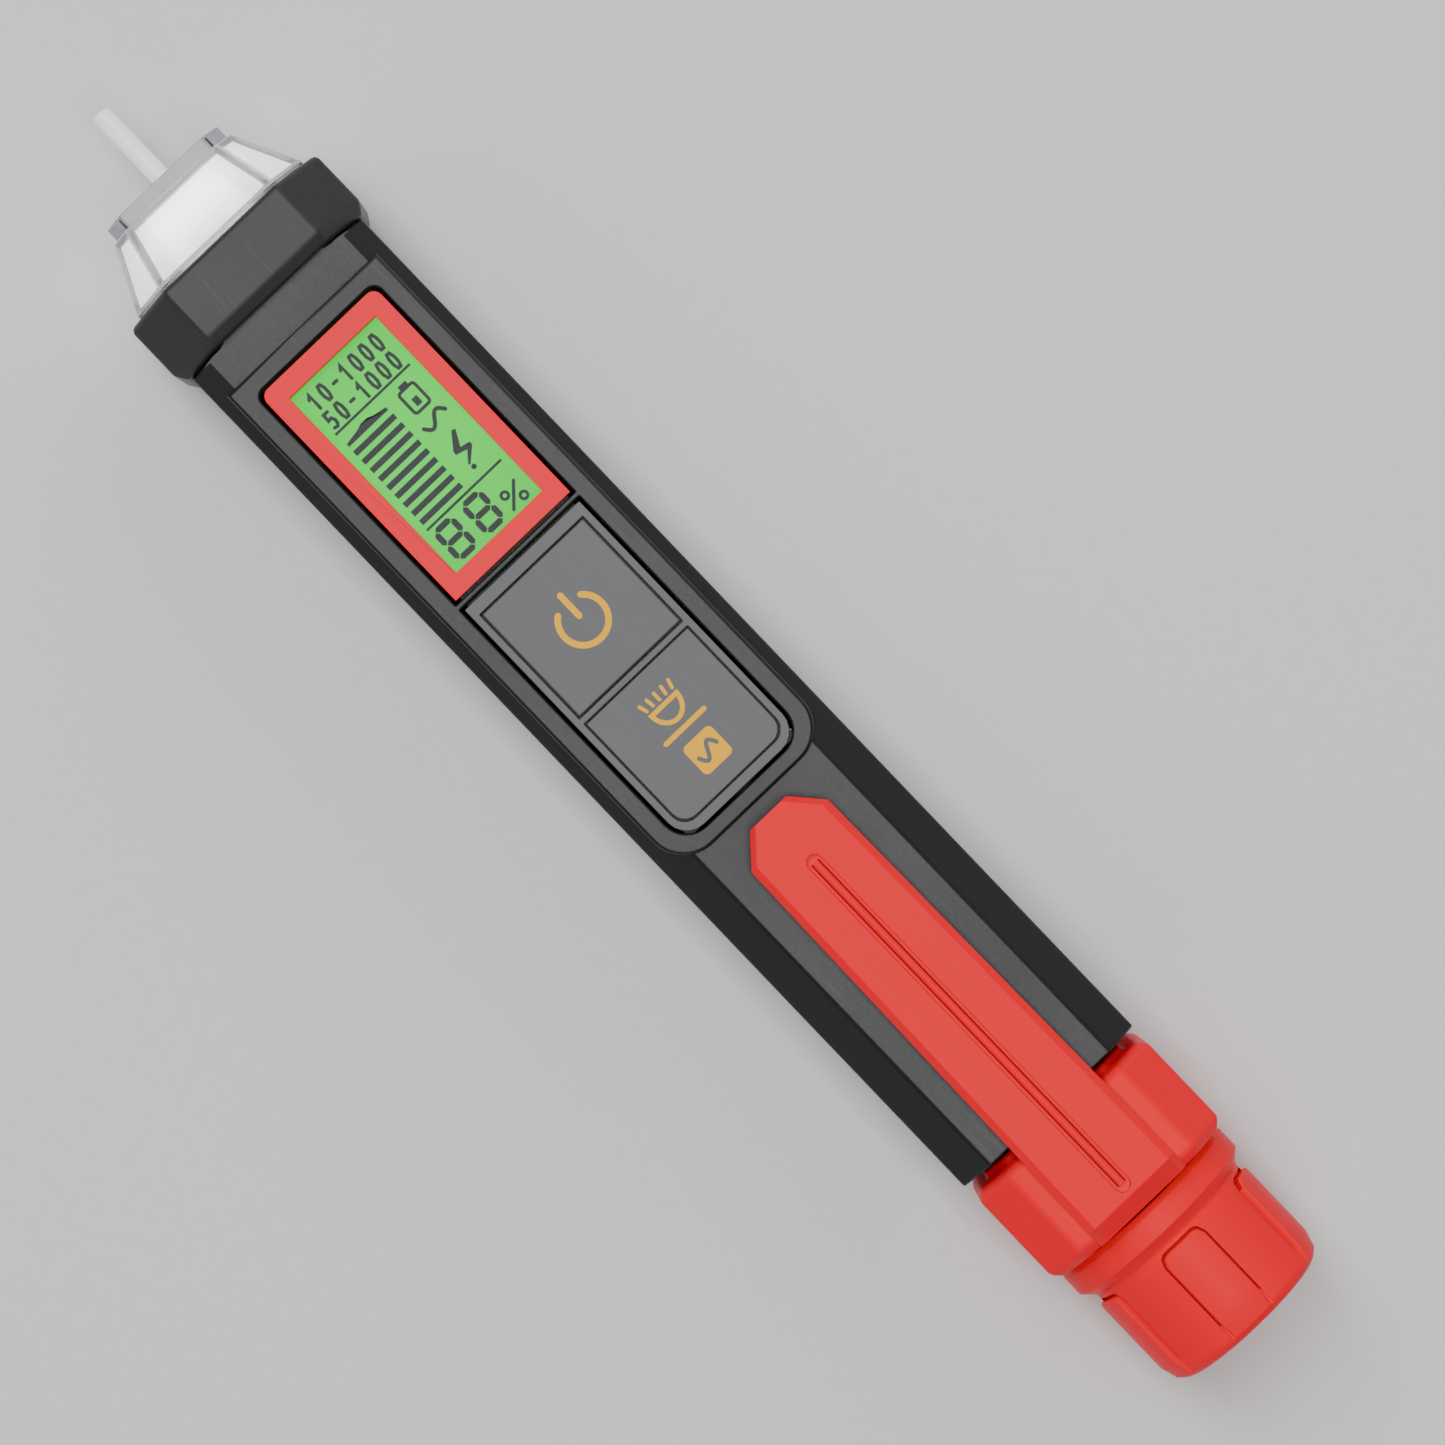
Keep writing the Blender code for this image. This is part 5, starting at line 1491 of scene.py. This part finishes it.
@dataclass
class Clip:
    """Octagonal ring with its long springy arm, one moulding."""

    chamfer: float = 3.6 * MM
    neck_edge: float = 2.1 * MM
    front_step: float = 0.15 * MM
    front_bevel: float = 0.7 * MM
    nose_length: float = 0.85 * MM
    rear_bevel: float = 1.0 * MM
    ring_edge: float = 0.4 * MM
    bore: float = 7.7 * MM
    arm_thickness: float = 1.9 * MM
    tip_half_width: float = 2.35 * MM
    corner_half_width: float = 4.95 * MM
    corner_length: float = 2.95 * MM
    arm_edge: float = 0.7 * MM
    overall_edge: float = 0.2 * MM
    foot_start: float = 0.8 * MM
    foot_length: float = 1.6 * MM
    root_length: float = 5.0 * MM
    root_step: float = 0.3 * MM
    root_sink: float = 0.4 * MM
    slope_length: float = 1.9 * MM
    slope_foot: float = 0.45 * MM
    groove_half: float = 0.83 * MM
    groove_depth: float = 0.55 * MM
    groove_front: float = 3.4 * MM
    groove_rear: float = 3.2 * MM
    ridge_radius: float = 0.5 * MM

    def build(self) -> None:
        """Make the clip."""
        ring_low, ring_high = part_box("clip_ring")
        arm_low, arm_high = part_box("clip_arm")
        clip = self.build_ring(ring_low, ring_high)
        arm = self.build_arm(arm_low, arm_high, ring_high)
        Bench.unite(clip, arm)
        Bench.round_edges(clip, self.overall_edge, 3, 24.0)
        clip.name = "pocket_clip"
        clip.data.name = "pocket_clip"
        self.paint_shade_in_creases(clip, ring_low, ring_high, arm_high.z)
        WARDROBE.coat(clip, Finish.RED, Finish.CREASE)
        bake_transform(clip)
        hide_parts("clip_ring", "clip_arm")
        LOG.info("piece %s: %d faces, bends with clip", clip.name, len(clip.data.polygons))

    def paint_shade_in_creases(self, clip: bpy.types.Object, ring_low: Vector, ring_high: Vector,
                       top: float) -> None:
        """The groove beside its ridge, and the ring's narrow nose, take material number 1."""
        # painted shade in the groove beside the ridge and on the ring's narrow nose, which lie in shadow
        Bench.number_faces(clip, 1, lambda place: (
            0.33 * MM < abs(place.y) < self.groove_half + 0.02 * MM
            and place.x < ring_high.x - self.slope_length
            and top - MM < place.z < top - 0.12 * MM))
        Bench.number_faces(clip, 1, lambda place: (
            ring_low.x - 0.1 * MM < place.x < ring_low.x + self.nose_length
            and place.z < ring_high.z - 0.5 * MM))

    def build_ring(self, low: Vector, high: Vector) -> bpy.types.Object:
        """The ring: a narrow nose, a full octagon, a bevelled tail and the neck's bore."""
        w, h, c = (high.y - low.y) / 2, (high.z - low.z) / 2, self.chamfer
        middle = (high.z + low.z) / 2
        narrow, full = eased(w, h, c, self.neck_edge), octagon(w, h, c)
        shoulder = low.x + self.nose_length + self.front_step
        ring = Bench.drawn("clip_ring_blank", middle, [
            (low.x, narrow), (shoulder - self.front_step, narrow),
            (shoulder, eased(w, h, c, self.front_bevel)), (shoulder + self.front_bevel, full),
            (high.x - self.rear_bevel, full), (high.x, eased(w, h, c, self.rear_bevel))])
        Bench.round_edges(ring, self.ring_edge, 4, 20.0)
        bore = Bench.rod("neck_bore", low.x - MM, high.x + MM, 0.0, middle, self.bore, 96)
        Bench.cut(ring, bore)
        return ring

    def build_arm(self, low: Vector, high: Vector, ring_high: Vector) -> bpy.types.Object:
        """The arm: pointed tip, foot, chamfered edges, double groove and sloping root."""
        foot, top = low.z, high.z
        under = top - self.arm_thickness
        rear = ring_high.x - 0.1 * MM
        corner = low.x + self.corner_length
        root_half = (high.y - low.y) / 2

        def half_width_at(x: float) -> float:
            """The arm widens evenly from its corner to its root."""
            share = min((x - corner) / (rear - corner), 1.0)
            return self.corner_half_width + (root_half - self.corner_half_width) * share

        def section(half: float, bottom: float, crown: float = top) -> Outline:
            """Flat bar with its upper edges chamfered."""
            e = self.arm_edge
            return [(half, bottom), (half, crown - e), (half - e, crown), (-half + e, crown),
                    (-half, crown - e), (-half, bottom)]

        stations = [(low.x, section(self.tip_half_width, under)),
                    (corner, section(self.corner_half_width, under))]
        for ahead, bottom in ((0.0, foot), (self.foot_length, foot), (2 * self.foot_length, under)):
            x = corner + self.foot_start + ahead
            stations.append((x, section(half_width_at(x), bottom)))
        root, slope = rear - self.root_length, rear - self.slope_length
        at_root, sunk = half_width_at(root), ring_high.z - self.root_sink
        stations += [(root, section(at_root, under)), (root + self.root_step, section(at_root, sunk)),
                     (slope, section(half_width_at(slope), sunk)),
                     (rear, section(half_width_at(rear), sunk, ring_high.z + self.slope_foot))]
        arm = Bench.drawn("clip_arm_blank", 0.0, stations)
        groove_front, groove_rear = corner + self.groove_front, rear - self.groove_rear
        floor = top - self.groove_depth
        groove = Bench.ribbon("groove", [(groove_front, 0.0), (groove_rear, 0.0)],
                              2 * self.groove_half, floor, top + MM)
        Bench.cut(arm, groove)
        ridge = Bench.rod("ridge", groove_front, groove_rear, 0.0, floor - 0.1 * MM,
                          self.ridge_radius, 24)
        Bench.unite(arm, ridge)
        return arm


# ---------------------------------------------------------------- cap

@dataclass
class Cap:
    """Screw cap with a flange and grip pads, its seal, contact and spring."""

    flange_length: float = 3.8 * MM
    flange_chamfer: float = 0.55 * MM
    flange_fillet: float = 0.12 * MM
    grip_radius: float = 9.65 * MM
    pad_height: float = 0.5 * MM
    pads: int = 5
    pad_angle: float = 30.0
    pad_setback: float = 0.85 * MM
    pad_ease: float = 0.15 * MM
    pad_corner: float = 0.9 * MM
    end_drop: float = 0.5 * MM
    moat_width: float = 0.32 * MM
    moat_depth: float = 0.3 * MM
    end_round: float = 1.3 * MM
    bore: float = 8.3 * MM
    seat: float = 8.95 * MM
    seat_length: float = 2.0 * MM
    end_wall: float = 1.8 * MM

    def build(self) -> None:
        """Make every piece of the cap."""
        low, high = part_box("cap_shell")
        axis = (0.0, (low.z + high.z) / 2)
        radius = (high.y - low.y) / 2
        core = self.grip_radius - self.pad_height
        flange_rear = low.x + self.flange_length
        c = self.flange_chamfer
        end = [(high.x - self.end_round * (1 - math.sin(a)), core - self.end_round * (1 - math.cos(a)))
               for a in (math.radians(15.0 * i) for i in range(7))]
        cap = Bench.turned("screw_cap", [
            (low.x, self.seat), (low.x, radius - c), (low.x + c, radius), (flange_rear - 2 * c, radius),
            (flange_rear - 0.2 * c, core + self.flange_fillet), (flange_rear + 0.3 * MM, core), *end,
            (high.x, 0.0), (high.x - self.end_wall, 0.0), (high.x - self.end_wall, self.bore),
            (low.x + self.seat_length, self.bore), (low.x + self.seat_length, self.seat)], axis, True, 120)
        ends = (flange_rear + self.pad_setback, high.x)
        for i in range(self.pads):
            turn = 360.0 * i / self.pads
            moat = self.build_pad(ends, core - self.moat_depth, core + MM, axis, turn, self.moat_width)
            Bench.cut(cap, moat)
            pad = self.build_pad(ends, core - MM / 2, self.grip_radius, axis, turn, 0.0)
            Bench.unite(cap, pad)
        Bench.flatten(cap)
        # Painted shade: the floors of the grooves round the pads take the darker red.
        Bench.number_faces(cap, 1, lambda place: (
            flange_rear + 0.4 * MM < place.x < high.x - 1.5 * self.end_round
            and self.bore + 0.2 * MM < math.hypot(place.y, place.z - axis[1]) < core - 0.05 * MM))
        WARDROBE.dress(cap, Finish.RED, Body.CAP, ["cap_shell"], [Finish.CREASE])
        self.build_seal()
        WARDROBE.dress_nodes(Finish.BRASS, "cap_contact")
        WARDROBE.dress_nodes(Finish.STEEL, "cap_spring")

    def build_pad(self, ends: tuple[float, float], foot: float, top: float, axis: Point,
                  turn: float, grown: float) -> bpy.types.Object:
        """One raised grip pad, or the larger slab that cuts the groove round it.

        Args:
            ends: the pad's front end and the cap's end.
            foot: inner radius.
            top: outer radius.
            axis: (y, z) of the cap's axis.
            turn: degrees round the cap from the top.
            grown: how much larger than the pad, all round.

        Returns:
            A curved slab with rounded front corners, which runs out over the cap's end.
        """
        y, z = axis
        front, rear = ends[0] - grown, ends[1] - 0.55 * self.end_round
        columns, rows = 16, 6
        corner = self.pad_corner + grown
        levels = ((foot, 0.0), (top - self.pad_ease, 0.0), (top, self.pad_ease))
        verts, faces = [], []
        for level, inset in levels:
            half = math.radians(self.pad_angle / 2) + (grown - inset) / self.grip_radius
            start = front + inset
            for i in range(rows + 1):
                drop = self.end_drop if i == rows and level > foot and not grown else 0.0
                for k in range(columns + 1):
                    across = -1 + 2 * k / columns
                    x = start + (rear - start) * i / rows
                    from_side = (1 - abs(across)) * half * top
                    if i == 0 and from_side < corner:
                        x += corner - math.sqrt(corner ** 2 - (corner - from_side) ** 2)
                    angle = math.radians(turn) + across * half
                    radius = level - drop
                    verts.append((x, y - radius * math.sin(angle), z + radius * math.cos(angle)))
        row = columns + 1
        layer = row * (rows + 1)
        for base in (0, (len(levels) - 1) * layer):
            for i in range(rows):
                for k in range(columns):
                    a = base + i * row + k
                    faces.append((a, a + 1, a + row + 1, a + row))
        rim = [*range(row), *(row * i + columns for i in range(1, rows + 1)),
               *(row * rows + k for k in range(columns - 1, -1, -1)),
               *(row * i for i in range(rows - 1, 0, -1))]
        faces += [(a + up, b + up, b + up + layer, a + up + layer)
                  for up in (0, layer) for a, b in zip(rim, rim[1:] + rim[:1])]
        pad = Bench.from_points("pad", verts, faces=faces)
        Bench.edit(pad)
        Bench.tidy_and_leave()
        return pad

    def build_seal(self) -> None:
        """Rubber ring in the cap's mouth."""
        low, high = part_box("o_ring")
        section = (high.x - low.x) / 2
        bpy.ops.object.select_all(action="DESELECT")
        bpy.ops.mesh.primitive_torus_add(
            location=((low.x + high.x) / 2, 0.0, (low.z + high.z) / 2),
            rotation=(0.0, math.pi / 2, 0.0), major_segments=96, minor_segments=16,
            major_radius=(high.y - low.y) / 2 - section, minor_radius=section)
        seal = Bench.settle("cap_seal_ring")
        Bench.smooth(seal, 60.0)
        WARDROBE.dress(seal, Finish.RUBBER, Body.SEAL, ["o_ring"])


# ---------------------------------------------------------------- neck and inside

@dataclass
class Inside:
    """Battery sleeve with its threaded neck, the cells and the electronics."""

    neck_radius: float = 7.5 * MM
    core_radius: float = 7.0 * MM
    crest_radius: float = 7.6 * MM
    pitch: float = 2.4 * MM
    turns: float = 2.1
    steps: int = 48
    ridge_foot: float = 0.45 * MM
    ridge_crest: float = 0.2 * MM
    bore: float = 5.55 * MM
    sleeve_radius: float = 6.5 * MM
    front_hole: float = 1.4 * MM
    flange: float = 1.6 * MM
    edge: float = 0.3 * MM

    def build(self) -> None:
        """Make the sleeve, and finish what stays as the frame gives it."""
        low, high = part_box("battery_sleeve")
        axis = (0.0, (low.z + high.z) / 2)
        flange_radius = (high.y - low.y) / 2
        flange_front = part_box("negative_strip")[1].x + GAP
        thread_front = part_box("cap_shell")[0].x + 1.2 * MM
        sleeve = Bench.turned("battery_tube", [
            (low.x, self.front_hole), (low.x, self.sleeve_radius), (flange_front, self.sleeve_radius),
            (flange_front, flange_radius), (flange_front + self.flange, flange_radius),
            (flange_front + self.flange, self.neck_radius), (thread_front, self.neck_radius),
            (thread_front + 0.5 * MM, self.core_radius), (high.x - self.edge, self.core_radius),
            (high.x, self.core_radius - self.edge), (high.x, self.bore), (low.x + MM, self.bore),
            (low.x + MM, self.front_hole)], axis, True, 96)
        ridge = self.build_ridge(thread_front + 0.9 * MM, axis)
        Bench.unite(sleeve, ridge)
        Bench.smooth(sleeve)
        WARDROBE.dress(sleeve, Finish.BLACK, Body.HOUSING, ["battery_sleeve"])
        WARDROBE.dress_nodes(Finish.FRONT_CELL, "battery_front")
        WARDROBE.dress_nodes(Finish.REAR_CELL, "battery_rear")
        WARDROBE.dress_nodes(Finish.BRASS, "front_contact", "negative_strip")
        WARDROBE.dress_nodes(Finish.BOARD, "main_pcb")
        WARDROBE.dress_nodes(Finish.CHIP, "microcontroller", "buzzer")

    def build_ridge(self, start: float, axis: Point) -> bpy.types.Object:
        """The neck's right-handed thread: a tapered ridge along a helix, fading in and out."""
        y, z = axis
        half, crest = self.ridge_foot, self.ridge_crest
        foot = self.core_radius - 0.3 * MM
        profile = [(-half, foot), (half, foot), (crest, self.crest_radius), (-crest, self.crest_radius)]
        corners = len(profile)
        count = round(self.turns * self.steps)
        verts, faces = [], []
        for i in range(count + 1):
            angle = 2 * math.pi * i / self.steps
            fade = min(1.0, i / 8, (count - i) / 8)
            for dx, r in profile:
                radius = foot + (r - foot) * (0.35 + 0.65 * fade)
                verts.append((start + self.pitch * i / self.steps + dx, y - radius * math.sin(angle),
                              z + radius * math.cos(angle)))
        for i in range(count):
            for k in range(corners):
                a, b = corners * i + k, corners * i + (k + 1) % corners
                faces.append((a, b, b + corners, a + corners))
        faces += [range(corners - 1, -1, -1), range(corners * count, corners * (count + 1))]
        ridge = Bench.from_points("ridge", verts, faces=[tuple(face) for face in faces])
        Bench.edit(ridge)
        Bench.tidy_and_leave()
        return ridge


# ---------------------------------------------------------------- studio

@dataclass
class Studio:
    """Pale floor, soft lights and the camera straight above the face."""

    turn: float = 46.29
    focal_length: float = 135.0
    distance: float = 0.51
    centre: Point = (3.7 * MM, 2.8 * MM)
    floor_size: float = 3.0
    floor_gap: float = 0.05 * MM
    daylight: tuple[float, float, float, float] = (0.9, 0.92, 0.95, 1.0)
    daylight_strength: float = 0.22

    def build(self) -> None:
        """Make the floor, lights, daylight and camera."""
        bpy.ops.object.select_all(action="DESELECT")
        bpy.ops.mesh.primitive_plane_add(size=self.floor_size,
                                         location=(0.0, 0.0, CAD_BOX[0][2] - self.floor_gap))
        floor = Bench.settle("studio_floor")
        g = Graph("pale_floor")
        cloth = g.noise(600.0, 3.0, 0.6)
        g.put(Base_Color=g.mix(cloth, rgba((0.72, 0.72, 0.72)), rgba((0.76, 0.76, 0.76))),
              Roughness=0.7)
        floor.data.materials.append(g.material)
        self.light("key", (-0.2, 0.0, 0.95), (0.36, 1.3), 10.5)
        self.light("fill", (0.5, -0.4, 0.6), (0.5, 0.5), 0.8)
        self.light("edge", (-0.3, 0.6, 0.5), (0.5, 0.5), 1.4)
        world = bpy.data.worlds.new("studio_world")
        world.use_nodes = True
        background = world.node_tree.nodes["Background"]
        background.inputs["Color"].default_value = self.daylight
        background.inputs["Strength"].default_value = self.daylight_strength
        bpy.context.scene.world = world
        self.build_camera()

    def light(self, name: str, place: tuple[float, float, float], size: tuple[float, float],
              power: float) -> None:
        """A rectangular soft light that faces the tool."""
        data = bpy.data.lights.new(name, "AREA")
        data.energy = power
        data.shape = "RECTANGLE"
        data.size, data.size_y = size
        lamp = bpy.data.objects.new(name, data)
        lamp.location = place
        lamp.rotation_euler = (-Vector(place)).to_track_quat("-Z", "Y").to_euler()
        bpy.context.scene.collection.objects.link(lamp)

    def build_camera(self) -> None:
        """Look straight down, the tool lying from upper left to lower right."""
        data = bpy.data.cameras.new("camera")
        data.lens = self.focal_length
        data.sensor_width = 36.0
        data.clip_start = 0.01
        camera = bpy.data.objects.new("camera", data)
        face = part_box("keypad_panel")[1].z
        camera.location = (*self.centre, face + self.distance)
        camera.rotation_euler = (0.0, 0.0, math.radians(self.turn))
        bpy.context.scene.collection.objects.link(camera)
        bpy.context.scene.camera = camera


def main() -> None:
    """Build the studio and then the tool, sub-assembly by sub-assembly."""
    logging.basicConfig(level=logging.INFO, format="%(name)s: %(message)s")
    for part in (Studio(), Nose(), Housing(), Display(), Keypad(), Clip(), Cap(), Inside()):
        part.build()
        LOG.info("%s done", type(part).__name__)


if __name__ == "__main__":
    main()
